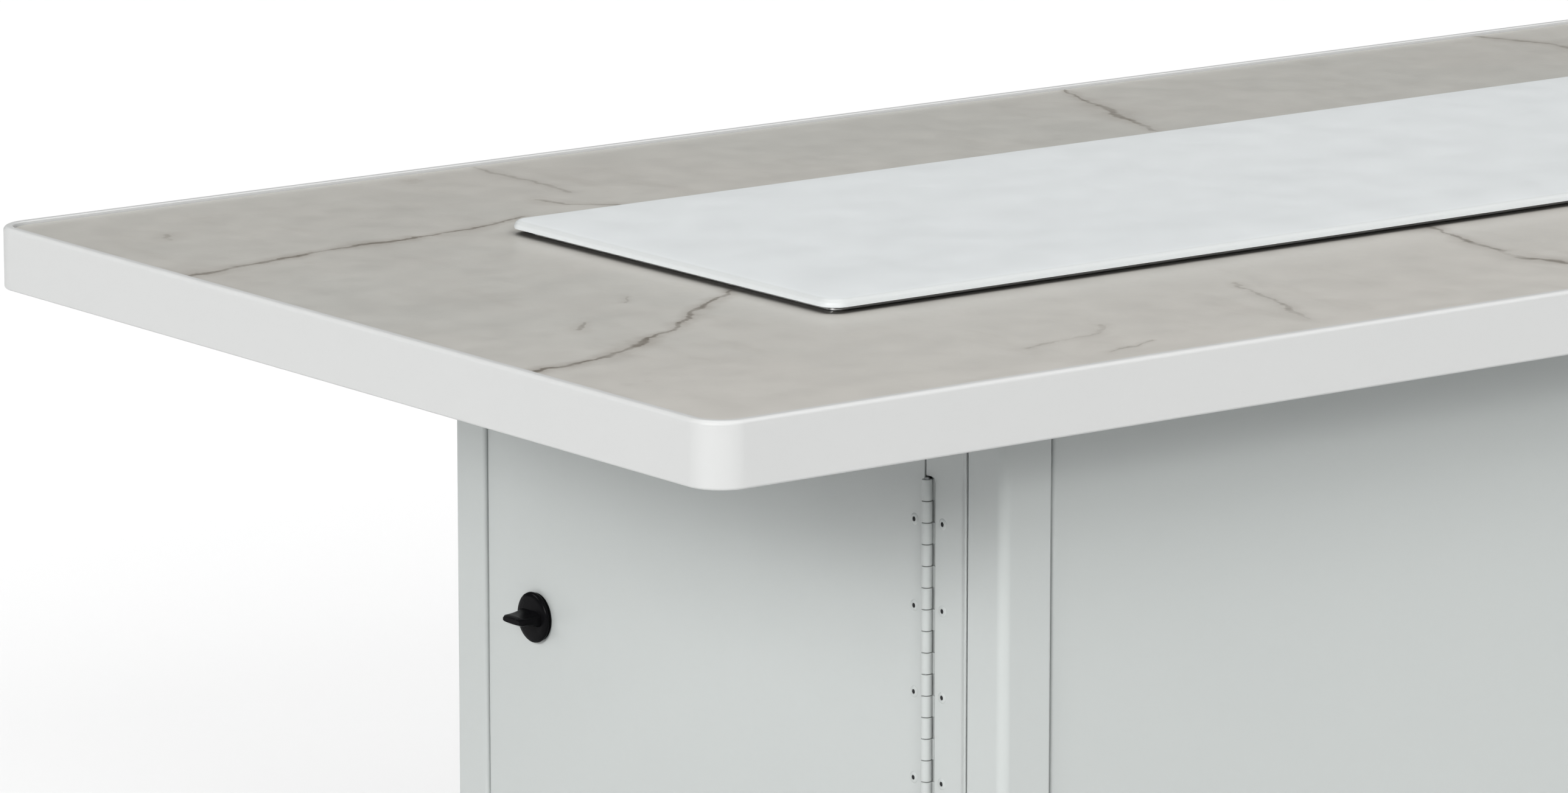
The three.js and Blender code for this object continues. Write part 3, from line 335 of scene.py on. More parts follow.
# The main veins, as points in metres across the top, with each vein's half-width and strength.
VEINS = [
    (0.0030, 0.90, [(-0.775, 0.158), (-0.700, 0.173), (-0.645, 0.181), (-0.540, 0.186), (-0.500, 0.200)]),
    (0.0030, 0.70, [(-0.460, 0.240), (-0.456, 0.216), (-0.432, 0.197)]),
    (0.0027, 1.00, [(-0.775, -0.188), (-0.715, -0.176), (-0.640, -0.137), (-0.590, -0.094),
                    (-0.545, -0.064)]),
    (0.0032, 0.75, [(0.046, 0.356), (0.030, 0.306), (0.010, 0.250), (-0.004, 0.205)]),
    (0.0030, 0.75, [(-0.086, -0.158), (-0.100, -0.206), (-0.112, -0.262), (-0.095, -0.300),
                    (-0.060, -0.356)]),
    (0.0022, 0.40, [(-0.430, 0.354), (-0.427, 0.296), (-0.433, 0.250)]),
    (0.0020, 0.42, [(-0.296, -0.220), (-0.306, -0.270), (-0.330, -0.330)]),
    (0.0022, 0.42, [(-0.512, -0.300), (-0.450, -0.288), (-0.432, -0.272)]),
    (0.0022, 0.42, [(-0.480, -0.334), (-0.440, -0.322)]),
    (0.0022, 0.45, [(-0.715, 0.262), (-0.708, 0.280)]),
    (0.0022, 0.45, [(-0.680, -0.106), (-0.664, -0.092)]),
    (0.0022, 0.40, [(-0.612, -0.056), (-0.600, -0.042)]),
    (0.0028, 0.70, [(0.330, -0.160), (0.362, -0.214), (0.402, -0.262), (0.470, -0.292), (0.520, -0.356)]),
    (0.0026, 0.65, [(0.556, 0.052), (0.610, 0.084), (0.690, 0.096), (0.774, 0.140)]),
    (0.0026, 0.60, [(0.410, 0.356), (0.432, 0.300), (0.424, 0.246), (0.452, 0.172)]),
]


def marble_veins(tile, flat):
    """A dark core and a soft halo along every vein, broken up by noise."""
    breakup = tile.ramp(tile.noise(26.0, 4.0, 0.7, place=flat), 0.34, 0.60, 0.25, 1.0)
    width = tile.ramp(tile.noise(14.0, 3.0), 0.35, 0.65, 0.45, 1.5)
    dark, soft = 0.0, 0.0
    for half_width, strength, points in VEINS:
        distance = None
        for (ax, ay), (bx, by) in zip(points, points[1:]):
            run = Vector((bx - ax, by - ay, 0))
            from_start = tile.vector("SUBTRACT", flat, (ax, ay, 0))
            along = tile.math("MULTIPLY", tile.vector("DOT_PRODUCT", from_start, tuple(run)),
                              1 / run.length_squared, clamp=True)
            nearest = tile.vector("SCALE", tuple(run), scale=along)
            gap = tile.vector("DISTANCE", from_start, nearest)
            distance = gap if distance is None else tile.math("MINIMUM", distance, gap)
        scaled = tile.math("DIVIDE", distance, width)
        core = tile.ramp(scaled, half_width * 0.25, half_width, strength, 0.0, smooth=True)
        halo = tile.ramp(scaled, 0.0, half_width * 5, strength * 0.7, 0.0, smooth=True)
        dark = tile.math("MAXIMUM", dark, core)
        soft = tile.math("MAXIMUM", soft, halo)
    return tile.math("MULTIPLY", dark, breakup), tile.math("MULTIPLY", soft, breakup)


def cement_board():
    board = Finish("cement_board", (0.37, 0.37, 0.355), 0.92)
    board.tint(board.ramp(board.noise(14.0, 5.0), 0.4, 0.65, 0.0, 0.6), (0.29, 0.285, 0.27))
    board.tint(board.ramp(board.noise(420.0, 2.0), 0.60, 0.70, 0.0, 0.6), (0.55, 0.54, 0.52))
    board.bump(board.noise(320.0, 4.0), 0.4, 0.0004)
    return board.material


def galvanised(name, color, scale=55.0):
    """Zinc spangle: flat crystals, each with its own brightness."""
    zinc = Finish(name, color, 0.48, Metallic=0.85)
    spangle = zinc.cells(scale, output="Color")
    grey = zinc.node("ShaderNodeSeparateColor")
    zinc.link(spangle, grey.inputs[0])
    zinc.tint(zinc.ramp(grey.outputs[0], 0.0, 1.0, 0.0, 0.5), tuple(0.72 * c for c in color))
    zinc.tint(zinc.ramp(zinc.noise(5.0, 4.0), 0.45, 0.75, 0.0, 0.35), (0.34, 0.345, 0.35))
    zinc.rough(grey.outputs[1], 0.38, 0.56)
    zinc.bump(zinc.noise(260.0, 2.0), 0.08, 0.0001)
    return zinc.material


def brushed_steel():
    steel = Finish("stainless_steel", (0.60, 0.60, 0.59), 0.34, Metallic=1.0)
    grain = steel.noise(1.0, 4.0, 0.7, place=steel.stretched((14.0, 900.0, 900.0)))
    steel.tint(steel.ramp(grain, 0.4, 0.65, 0.0, 0.4), (0.44, 0.44, 0.435))
    steel.tint(steel.ramp(steel.noise(7.0, 3.0), 0.55, 0.75, 0.0, 0.35), (0.50, 0.46, 0.40))
    steel.rough(grain, 0.27, 0.42)
    steel.bump(grain, 0.06, 0.0001)
    return steel.material


def moulded_plastic(name, color, low, high):
    plastic = Finish(name, color, low, Specular_IOR_Level=0.03)
    plastic.tint(plastic.ramp(plastic.noise(160.0, 4.0), 0.56, 0.74, 0.0, 0.30), (0.009, 0.009, 0.010))
    plastic.rough(plastic.noise(70.0, 4.0), low, high)
    plastic.bump(plastic.noise(600.0, 2.0), 0.06, 0.0001)
    return plastic.material


def machined(name, color, stain):
    metal = Finish(name, color, 0.30, Metallic=1.0)
    metal.tint(metal.ramp(metal.noise(38.0, 4.0), 0.45, 0.7, 0.0, 0.6), stain)
    turning = metal.noise(1.0, 3.0, place=metal.stretched((60.0, 60.0, 1400.0)))
    metal.rough(turning, 0.22, 0.42)
    metal.bump(turning, 0.10, 0.0001)
    return metal.material


def rubber():
    soft = Finish("black_rubber", (0.018, 0.018, 0.018), 0.75)
    soft.tint(soft.ramp(soft.noise(120.0, 3.0), 0.5, 0.7, 0.0, 0.5), (0.05, 0.05, 0.05))
    soft.bump(soft.noise(500.0, 3.0), 0.25, 0.0002)
    return soft.material


def fire_glass():
    """Tempered glass pebbles, each with its own tint and a dark mirror face."""
    glass = Finish("fire_glass", (0.022, 0.027, 0.032), 0.06, Metallic=0.35)
    island = glass.node("ShaderNodeNewGeometry").outputs["Random Per Island"]
    glass.tint(glass.ramp(island, 0.0, 1.0, 0.0, 1.0), (0.10, 0.125, 0.15))
    glass.tint(glass.ramp(glass.noise(300.0, 3.0), 0.55, 0.7, 0.0, 0.5), (0.20, 0.22, 0.24))
    glass.rough(glass.noise(240.0, 2.0), 0.03, 0.16)
    return glass.material


def ceramic():
    white = Finish("electrode_ceramic", (0.78, 0.75, 0.68), 0.32)
    white.tint(white.ramp(white.noise(180.0, 4.0), 0.55, 0.75, 0.0, 0.5), (0.55, 0.50, 0.42))
    white.bump(white.noise(420.0, 3.0), 0.10, 0.0001)
    return white.material


MATERIALS = {
    "white_powder_coat": powder_coat("white_powder_coat", (0.398, 0.417, 0.409), (0.384, 0.403, 0.396)),
    "rim_coat": powder_coat("rim_coat", (0.452, 0.456, 0.452), (0.438, 0.445, 0.441)),
    "lid_powder_coat": lid_powder_coat(),
    "hinge_steel": powder_coat("hinge_steel", (0.398, 0.416, 0.408), (0.360, 0.380, 0.374)),
    "marble_tile": marble_tile(),
    "cement_board": cement_board(),
    "galvanised_steel": galvanised("galvanised_steel", (0.52, 0.54, 0.555)),
    "zinc_plate": galvanised("zinc_plate", (0.60, 0.61, 0.62), 400.0),
    "stainless_steel": brushed_steel(),
    "black_gloss_plastic": moulded_plastic("black_gloss_plastic", (0.004, 0.004, 0.0045), 0.16, 0.30),
    "brass": machined("brass", (0.60, 0.43, 0.19), (0.42, 0.29, 0.13)),
    "copper": machined("copper", (0.62, 0.30, 0.18), (0.40, 0.18, 0.10)),
    "black_rubber": rubber(),
    "foot_plastic": moulded_plastic("foot_plastic", (0.022, 0.022, 0.023), 0.50, 0.66),
    "fire_glass": fire_glass(),
    "electrode_ceramic": ceramic(),
}


# Shapes, as (points in millimetres, faces)

def joined(*parts):
    points, faces, count = [], [], 0
    for part_points, part_faces in parts:
        points.append(np.asarray(part_points, float).reshape(-1, 3))
        faces += [tuple(i + count for i in face) for face in part_faces]
        count += len(points[-1])
    return np.concatenate(points), faces


def moved(part, by):
    return np.asarray(part[0], float) + np.asarray(by, float), part[1]


def turned_about(part, axis, degrees, centre=(0, 0, 0)):
    turn = np.array(Matrix.Rotation(math.radians(degrees), 3, axis))
    return (np.asarray(part[0], float) - centre) @ turn.T + centre, part[1]


AXIS_ORDER = {"x": (2, 0, 1), "y": (0, 2, 1), "z": (0, 1, 2)}


def on_axis(axis, a, b, along):
    """Puts (a, b) across an axis and along on it: (y, z) for x, (x, z) for y, (x, y) for z."""
    stacked = np.stack([a, b, along], axis=-1)
    return stacked[..., list(AXIS_ORDER[axis])]


def faces_between(loops, around):
    """The faces between neighbouring closed loops of points."""
    faces = []
    for low in range(0, (loops - 1) * around, around):
        high = low + around
        for i in range(around):
            j = (i + 1) % around
            faces.append((low + i, low + j, high + j, high + i))
    return faces


def lathe(axis, profile, centre, sides=32, phase=0.0):
    """A turned solid from [radius, height] points. Each end is closed by one face."""
    profile = np.asarray(profile, float)
    angles = phase + np.arange(sides) * 2 * math.pi / sides
    radius, height = profile[:, 0][:, None], profile[:, 1][:, None]
    a = centre[0] + radius * np.cos(angles)
    b = centre[1] + radius * np.sin(angles)
    points = on_axis(axis, a, b, np.broadcast_to(height, a.shape)).reshape(-1, 3)
    faces = faces_between(len(profile), sides)
    faces.append(tuple(range(sides - 1, -1, -1)))
    last = (len(profile) - 1) * sides
    faces.append(tuple(range(last, last + sides)))
    return points, faces


def ring(axis, profile, centre, sides=48):
    """A turned ring from a closed [radius, height] outline."""
    points, faces = lathe(axis, list(profile) + [profile[0]], centre, sides)
    return points, faces[:-2]


def hexagon(axis, across, span, centre, chamfer=0.6, phase=0.0):
    """A hex nut or bolt head with chamfered ends, across its flats."""
    outer = across / math.sqrt(3)
    low, high = span
    profile = [[outer - chamfer, low], [outer, low + chamfer],
               [outer, high - chamfer], [outer - chamfer, high]]
    return lathe(axis, profile, centre, 6, phase)


def box(x, y, z):
    points = [(a, b, c) for c in z for b in y for a in x]
    faces = [(0, 2, 3, 1), (4, 5, 7, 6), (0, 1, 5, 4), (2, 6, 7, 3), (0, 4, 6, 2), (1, 3, 7, 5)]
    return np.array(points, float), faces


def rounded(corners, steps=8):
    """A 2-D line from (u, v) or (u, v, radius) corners, with each radius drawn as an arc."""
    line = []
    for i, corner in enumerate(corners):
        here = Vector(corner[:2])
        if len(corner) < 3 or i in (0, len(corners) - 1):
            line.append(here)
            continue
        before = (Vector(corners[i - 1][:2]) - here).normalized()
        after = (Vector(corners[i + 1][:2]) - here).normalized()
        half = before.angle(after) / 2
        reach = corner[2] / math.tan(half)
        centre = here + (before + after).normalized() * (corner[2] / math.sin(half))
        start, end = here + before * reach - centre, here + after * reach - centre
        sweep = start.angle_signed(end)
        for k in range(steps + 1):
            line.append(centre + Matrix.Rotation(-sweep * k / steps, 2) @ start)
    return np.array(line)


def folded(axis, line, thickness, span):
    """A sheet bent along a line, with its thickness on the line's left."""
    line = np.asarray(line, float)
    run = np.diff(line, axis=0)
    run /= np.linalg.norm(run, axis=1)[:, None]
    left = np.stack([-run[:, 1], run[:, 0]], axis=1)
    before, after = np.vstack([left[:1], left]), np.vstack([left, left[-1:]])
    mitre = before + after
    mitre /= np.linalg.norm(mitre, axis=1)[:, None]
    inner = line + mitre * (thickness / np.sum(mitre * before, axis=1))[:, None]
    count = len(line)
    rows = []
    for shape in (line, inner):
        for along in span:
            rows.append(on_axis(axis, shape[:, 0], shape[:, 1], np.full(count, float(along))))
    points = np.concatenate(rows)
    faces = []
    for i in range(count - 1):
        a, b, c, d = i, count + i, 2 * count + i, 3 * count + i
        faces += [(a, a + 1, b + 1, b), (c, d, d + 1, c + 1), (a, c, c + 1, a + 1), (b, b + 1, d + 1, d)]
    for i in (0, count - 1):
        faces.append((i, count + i, 3 * count + i, 2 * count + i))
    return points, faces


def corner_stations(length, width, radius, steps):
    """Points round a rounded rectangle, as corner centres and outward directions."""
    centres, outward = [], []
    for corner in range(4):
        centre = ((1 if corner in (0, 3) else -1) * (length / 2 - radius),
                  (1 if corner < 2 else -1) * (width / 2 - radius))
        for step in range(steps + 1):
            angle = (corner + step / steps) * math.pi / 2
            centres.append(centre)
            outward.append((math.cos(angle), math.sin(angle)))
    return np.array(centres), np.array(outward)


def swept(length, width, radius, profile, closed, steps=20):
    """A profile of [inset, height] points carried round a rounded rectangle."""
    centres, outward = corner_stations(length, width, 0, steps)
    profile = np.asarray(profile, float)
    rows, count = len(profile), len(centres)
    bend = np.maximum(radius - profile[:, 0], 2.0)
    inward = np.sign(centres)[:, None] * (profile[:, 0] + bend)[None, :, None]
    flat = centres[:, None] - inward + bend[None, :, None] * outward[:, None]
    height = np.broadcast_to(profile[None, :, 1], (count, rows))
    points = np.concatenate([flat, height[..., None]], axis=2).reshape(-1, 3)
    faces = []
    for i in range(count):
        for j in range(rows if closed else rows - 1):
            k, m = (i + 1) % count, (j + 1) % rows
            faces.append((i * rows + j, k * rows + j, k * rows + m, i * rows + m))
    if not closed:
        faces.append(tuple(i * rows for i in range(count - 1, -1, -1)))
        faces.append(tuple(i * rows + rows - 1 for i in range(count)))
    return points, faces


def plate_with_opening(outer, inner, levels, ease, steps=12):
    """A plate between two rounded rectangles, each (length, width, radius), with eased top edges."""
    low, high = levels
    loops = []
    for (length, width, radius), side in ((outer, 1), (inner, -1)):
        centres, outward = corner_stations(length, width, radius, steps)
        for inset, level in ((0, low), (0, high - ease), (0.3 * ease, high - 0.3 * ease), (ease, high)):
            flat = centres + (radius - side * inset) * outward
            loops.append(np.column_stack([flat, np.full(len(flat), float(level))]))
    order = [0, 1, 2, 3, 7, 6, 5, 4]
    points = np.concatenate([loops[i] for i in order])
    count = len(loops[0])
    faces = []
    for row in range(8):
        for i in range(count):
            a, b = row * count, ((row + 1) % 8) * count
            j = (i + 1) % count
            faces.append((a + i, a + j, b + j, b + i))
    return points, faces


def grip(centre, sections, power, around):
    """A finger grip along x, from (x, half width in y, half width in z) sections, squarer than ovals."""
    points = []
    for x, half_y, half_z in sections:
        for i in range(around):
            angle = 2 * math.pi * i / around
            c, s = math.cos(angle), math.sin(angle)
            points.append((x, centre[0] + half_y * math.copysign(abs(c) ** power, c),
                           centre[1] + half_z * math.copysign(abs(s) ** power, s)))
    faces = faces_between(len(sections), around)
    faces += [tuple(range(around)), tuple(range(len(points) - around, len(points)))]
    return np.array(points), faces


def smooth_path(points, steps):
    """A Catmull-Rom line through points, evenly stepped."""
    p = np.array(points, float)
    p = np.vstack([2 * p[0] - p[1], p, 2 * p[-1] - p[-2]])
    line = []
    for i in range(1, len(p) - 2):
        for t in np.linspace(0, 1, 24, endpoint=False):
            a, b, c, d = p[i - 1:i + 3]
            line.append(0.5 * (2 * b + (c - a) * t + (2 * a - 5 * b + 4 * c - d) * t ** 2
                               + (3 * b - a - 3 * c + d) * t ** 3))
    line = np.array(line + [p[-2]])
    length = np.concatenate([[0], np.cumsum(np.linalg.norm(np.diff(line, axis=0), axis=1))])
    at = np.linspace(0, length[-1], steps + 1)
    return np.column_stack([np.interp(at, length, line[:, k]) for k in range(3)]), at


def tube(line, radii, sides=12):
    """A tube along a line, with a radius at each point."""
    line = np.asarray(line, float)
    run = np.gradient(line, axis=0)
    run /= np.linalg.norm(run, axis=1)[:, None]
    side = np.cross(run[0], (0.3, 1.0, 0.2))
    rows = []
    for point, along, radius in zip(line, run, radii):
        side = side - along * np.dot(side, along)
        side /= np.linalg.norm(side)
        other = np.cross(along, side)
        angles = np.arange(sides) * 2 * math.pi / sides
        rows.append(point + radius * (np.cos(angles)[:, None] * side + np.sin(angles)[:, None] * other))
    points = np.concatenate(rows)
    faces = faces_between(len(line), sides)
    faces.append(tuple(range(sides)))
    faces.append(tuple(range(len(points) - 1, len(points) - 1 - sides, -1)))
    return points, faces


# Pieces and CAD nodes

def finish_edges(obj, bevel):
    if bevel:
        edge = obj.modifiers.new("eased_edges", "BEVEL")
        edge.width = bevel * MM
        edge.segments = 2
        edge.limit_method = "ANGLE"
        edge.angle_limit = math.radians(38)
        edge.use_clamp_overlap = True
    weighted = obj.modifiers.new("flat_faces", "WEIGHTED_NORMAL")
    weighted.weight = 100
    weighted.keep_sharp = not bevel


def piece(name, body, slot, part, replaces=(), material=None, bevel=0.0, sharp=38.0):
    """Makes one named piece that rides on a body and stands for the CAD nodes it replaces."""
    points, faces = part
    mesh = bpy.data.meshes.new(name)
    mesh.from_pydata((np.asarray(points, float) * MM).tolist(), [], faces)
    mesh.validate()
    mesh.polygons.foreach_set("use_smooth", [True] * len(mesh.polygons))
    obj = bpy.data.objects.new(name, mesh)
    bpy.context.scene.collection.objects.link(obj)
    outward_normals(mesh)
    if not bevel:
        mesh.set_sharp_from_angle(angle=math.radians(sharp))
    mesh.materials.append(MATERIALS[material or slot])
    finish_edges(obj, bevel)
    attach(obj, body)
    if replaces:
        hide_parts(*replaces)
    return obj


def outward_normals(mesh):
    work = bmesh.new()
    work.from_mesh(mesh)
    bmesh.ops.recalc_face_normals(work, faces=work.faces)
    work.to_mesh(mesh)
    work.free()


def dress(material, bevel, *names):
    """Gives CAD nodes eased edges, even shading and a finish."""
    for name in names:
        obj = NODES[name]
        mesh = obj.data
        for layer in ("custom_normal", "sharp_edge"):
            if layer in mesh.attributes:
                mesh.attributes.remove(mesh.attributes[layer])
        mesh.polygons.foreach_set("use_smooth", [True] * len(mesh.polygons))
        mesh.materials.clear()
        mesh.materials.append(MATERIALS[material])
        weld = obj.modifiers.new("weld", "WELD")
        weld.merge_threshold = 0.00001
        merge = obj.modifiers.new("whole_faces", "DECIMATE")
        merge.decimate_type = "DISSOLVE"
        merge.angle_limit = math.radians(1)
        finish_edges(obj, bevel)


# Table top

def build_top():
    lip = rounded([(18, 572), (0, 572, 1.5), (0, 610, 2.5), (6, 610, 0.8), (6, 598)], 6).tolist()
    inside = [[2, 598], [2, 574], [18, 574]]
    piece("top_rim", "table", "white_powder_coat", swept(*TABLE, lip + inside, True, 24),
          ["rim_frame"], material="rim_coat")
    top = plate_with_opening(TILE, TILE_OPENING, TILE_LEVELS, 0.8, 16)
    piece("tiled_surface", "table", "marble_tile", top, ["tile_top"])
    dress("cement_board", 0.5, "backer_board")
    dress("galvanised_steel", 0.5, "top_deck", "deck_brace_1", "deck_brace_2", "deck_brace_3", "deck_brace_4")


# Lid

def build_lid():
    crown = [[inset, 617.4 - 0.8 * (1 - inset / 35) ** 2] for inset in (4.4, 8, 13, 19, 26, 35)]
    skin = rounded([(0, 612), (0, 616.6, 3.6), (3.8, 616.64)], 12).tolist() + crown
    under = rounded([(35, 615.4), (2, 614.6, 1.6), (2, 612)], 8).tolist()
    part = swept(*LID, under + skin, False, 24)
    piece("pressed_lid", "lid", "lid_powder_coat", part, ["burner_lid"])
    bumper = [[5.5, 614.3], [7, 613.6], [7, 611.2], [6.4, 610.2], [5.4, 609.8], [2.6, 609.8],
              [2.2, 610.8], [0.1, 610.8]]
    places = [(-502.5, -139.5), (502.5, -139.5), (502.5, 139.5), (-502.5, 139.5)]
    for number, (x, y) in enumerate(places, 1):
        piece(f"bumper_{number}", "lid", "black_rubber", lathe("z", bumper, (x, y), 32),
              [f"lid_bumper_{number}"])


# Burner

BURNER_AXIS_Z = 556.7
PORT_PITCH = 18.0
PORT_PLACES = [(side, index * PORT_PITCH) for side in (-1, 1) for index in range(-23, 24)]
PORT_TILT = 38


def build_burner():
    dress("stainless_steel", 0.5, "burner_pan")
    pipe = [[0.1, -432], [8.2, -432], [9.5, -430.6], [9.5, 430.6], [8.2, 432], [0.1, 432]]
    parts = [lathe("x", pipe, (0, BURNER_AXIS_Z), 32)]
    for x in (-425, 425):
        parts.append(ring("x", [[9.4, x - 3], [9.9, x - 2.2], [9.9, x + 2.2], [9.4, x + 3]],
                          (0, BURNER_AXIS_Z), 32))
    parts.append(lathe("z", [[7.2, 511.5], [8, 512.5], [8, 533], [7.4, 533.4], [8, 534.8], [8, 552]],
                       (0, 0), 32))
    for x in (-288, 288):
        parts.append(box((x - 6, x + 6), (-9.4, 9.4), (535.1, 549)))
        parts.append(ring("x", [[9.5, x - 6], [10.1, x - 5.4], [10.1, x + 5.4], [9.5, x + 6]],
                          (0, BURNER_AXIS_Z), 32))
    piece("burner_pipe", "table", "stainless_steel", joined(*parts), ["burner_tube"])

    rim = ring("z", [[1.0, 9.3], [1.6, 9.3], [1.6, 9.62], [1.0, 9.62]], (0, 0), 10)
    # Each port's hole is a dark plug, painted shade for the dim inside of the pipe.
    port_shade_plug = lathe("z", [[1.05, 9.2], [1.05, 9.54]], (0, 0), 10)
    ports, hole_shade_plugs = [], []
    for side, x in PORT_PLACES:
        for made, shape in ((ports, rim), (hole_shade_plugs, port_shade_plug)):
            made.append(moved(turned_about(shape, "X", -PORT_TILT * side), (x, 0, BURNER_AXIS_Z)))
    piece("burner_ports", "table", "stainless_steel", joined(*ports))
    piece("burner_port_shade", "table", "stainless_steel", joined(*hole_shade_plugs), material="foot_plastic")


def glass_pebble(size):
    """A tumbled cube of broken glass: a box with uneven corners."""
    points, faces = box((-0.5, 0.5), (-0.5, 0.5), (-0.5, 0.5))
    points = points * size * RNG.uniform(0.75, 1.2, 3) + RNG.normal(0, 0.13, (8, 3)) * size
    turn = np.linalg.qr(RNG.normal(size=(3, 3)))[0]
    return points @ turn, faces


def build_fire_glass():
    """A solid bed round the burner's channel, under a layer of loose pebbles."""
    low, high, pitch, inset = 535.3, 565.8, 11.5, 10
    half_x, half_y, channel_x, channel_y = 469.0, 125.0, 434.0, 27.0
    pebbles = []
    for x in np.arange(-half_x + 8, half_x - 6, pitch):
        for y in np.arange(-half_y + 8, half_y - 6, pitch):
            px, py = x + RNG.uniform(-4, 4), y + RNG.uniform(-4, 4)
            if abs(px) < channel_x and abs(py) < channel_y + 5:
                continue
            size = RNG.uniform(9, 13)
            px = min(max(px, inset - half_x), half_x - inset)
            py = min(max(py, inset - half_y), half_y - inset)
            points, faces = glass_pebble(size)
            top = points[:, 2].max()
            rest = RNG.uniform(high - 9, high) - top
            pebbles.append(moved((points, faces), (px, py, rest)))
    bed = plate_with_opening((2 * half_x, 2 * half_y, 6), (2 * channel_x + 8, 2 * channel_y + 8, 3),
                             (low, 553), 3)
    piece("glass_bed", "table", "fire_glass", bed, ["fire_glass"])
    piece("glass_pebbles", "table", "fire_glass", joined(*pebbles), bevel=0.5)


PAN_FLOOR = 535.0
SPARK_X, SENSOR_X, PROBE_Y = 60, 90, 20


def build_probes():
    low = PAN_FLOOR
    place = (SPARK_X, PROBE_Y)
    stem = lathe("z", [[2.6, 519.6], [3.0, 520.4], [3.0, low + 6], [2.7, low + 7], [3.4, low + 8],
                       [3.4, 549], [2.9, 550], [2.9, 551], [3.4, 552], [3.2, 556], [1.4, 556.7],
                       [1.2, 557]], place, 24)
    piece("spark_electrode", "table", "electrode_ceramic", stem, ["igniter_probe"])
    wire, _ = smooth_path([(*place, 556), (*place, 561), (SPARK_X, 17, 565), (SPARK_X, 12, 566)], 16)
    nut = hexagon("z", 11, (low, low + 4.4), place)
    piece("spark_wire", "table", "stainless_steel", joined(tube(wire, [1.0] * len(wire), 12), nut))

    place = (SENSOR_X, PROBE_Y)
    stem = lathe("z", [[2.6, 519.6], [3.2, 520.4], [3.2, low + 7], [2.4, low + 8], [2.4, 556],
                       [1.6, 558], [1.6, 564.6], [0.9, 566], [0.1, 566.2]], place, 24)
    nut = hexagon("z", 11, (low, low + 4.4), place)
    piece("flame_sensor", "table", "brass", joined(nut, stem), ["thermocouple"])


# Cabinet

CABINET_TOP, CABINET_BOTTOM = 586.9, 14.0
POST_SHEET = 1.5


def build_cabinet():
    for end in (-1, 1):
        for side in (-1, 1):
            name = f"post_{'front' if side < 0 else 'back'}_{'left' if end < 0 else 'right'}"
            line = rounded([(495, 238), (505, 238, 2), (505, 271, 6), (469.5, 271, 2), (469.5, 261)], 10)
            placed = line * (end, side)
            part = folded("z", placed, end * side * POST_SHEET, (CABINET_BOTTOM, CABINET_TOP))
            piece(f"corner_{name}", "table", "white_powder_coat", part, [name])
    dress("white_powder_coat", 0.35, "front_panel", "back_panel", "right_end_panel", "hinge_stile",
          "door_header", "door_sill", "access_door")
    dress("galvanised_steel", 0.4, "floor_pan", "base_top_frame", "partition_panel", "heat_shield",
          "door_stiffener")
    dress("zinc_plate", 0.4, "latch_cam", "latch_keeper")

    wall = [[116, 15.8], [118, 15.8], [118, 32.6], [117.6, 33.6], [116.8, 33.8], [116.2, 33.4], [116, 32.4]]
    piece("cylinder_ring", "table", "galvanised_steel", ring("z", wall, (-317, 0), 96), ["tank_ring"])


def build_feet():
    pad = [[0.1, 0], [18.6, 0], [20, 1.2], [20, 3.2], [19, 4.4], [9, 7.6], [7, 8.6], [7, 11.4],
           [6.4, 12], [0.1, 12]]
    for number, (x, y) in enumerate([(-455, -240), (455, -240), (455, 240), (-455, 240)], 1):
        piece(f"foot_pad_{number}", f"foot_{number}", "foot_plastic", lathe("z", pad, (x, y), 40),
              [f"levelling_foot_{number}"])
        thread = [[0.1, 11.9]]
        for turn in range(20):
            level = 12.2 + 1.25 * turn
            thread += [[3.4, level], [4.0, level + 0.6]]
        thread += [[3.4, 38.6], [2.8, 39.6], [0.1, 40]]
        piece(f"foot_stud_{number}", f"foot_{number}", "foot_plastic", lathe("z", thread, (x, y), 20),
              material="zinc_plate")
        nut = hexagon("z", 13, (16.2, 22.4), (x, y), 0.7, 0.3)
        piece(f"foot_nut_{number}", "table", "galvanised_steel", nut, material="zinc_plate")


# Hinge and rivets

HINGE_X, HINGE_Y = -504.0, -200.4
HINGE_TOP, PITCH, KNUCKLES = 515.7, 12.7, 35
RIVET_TOP, RIVET_PITCH, RIVETS = 491.0, 50.8, 9
RIVET_LINE_DOOR, RIVET_LINE_FRAME = -187.0, -213.0
END_PLANE = 502.5


def build_hinge():
    bottom = HINGE_TOP - KNUCKLES * PITCH
    for side, first, name in ((-1, 0, "frame"), (1, 1, "door")):
        y_near, y_far = HINGE_Y + side * 3.5, HINGE_Y + side * 17.5
        behind = 3 if side < 0 else 0
        leaf_near = HINGE_Y - 0.5 if side < 0 else y_near
        leaf = box((-500.7, -499.7), sorted((leaf_near, y_far)), (bottom - behind, HINGE_TOP + behind))
        parts = [leaf]
        for index in range(first, KNUCKLES, 2):
            top = HINGE_TOP - index * PITCH - 0.22
            low = top - PITCH + 0.44
            barrel = [[1.7, low], [2.9, low], [3.2, low + 0.3], [3.2, top - 0.3], [2.9, top], [1.7, top]]
            parts.append(ring("z", barrel, (HINGE_X, HINGE_Y), 28))
            wrap = [(HINGE_X + 3.05, HINGE_Y - side * 0.6), (HINGE_X + 3.3, HINGE_Y + side * 1.2),
                    (-500.2, y_near + side * 0.3)]
            parts.append(folded("z", wrap, side * 0.9, (low, top)))
        body = "table" if side < 0 else "door"
        piece(f"hinge_leaf_{name}_rolled", body, "hinge_steel", joined(*parts), [f"hinge_leaf_{name}"])
    pin = [[0.1, bottom - 0.5], [1.0, bottom - 0.5], [1.4, bottom], [1.4, HINGE_TOP], [1.0, HINGE_TOP + 0.5],
           [0.1, HINGE_TOP + 0.5]]
    piece("hinge_rod", "table", "hinge_steel", lathe("z", pin, (HINGE_X, HINGE_Y), 20), ["hinge_pin"],
          material="zinc_plate")


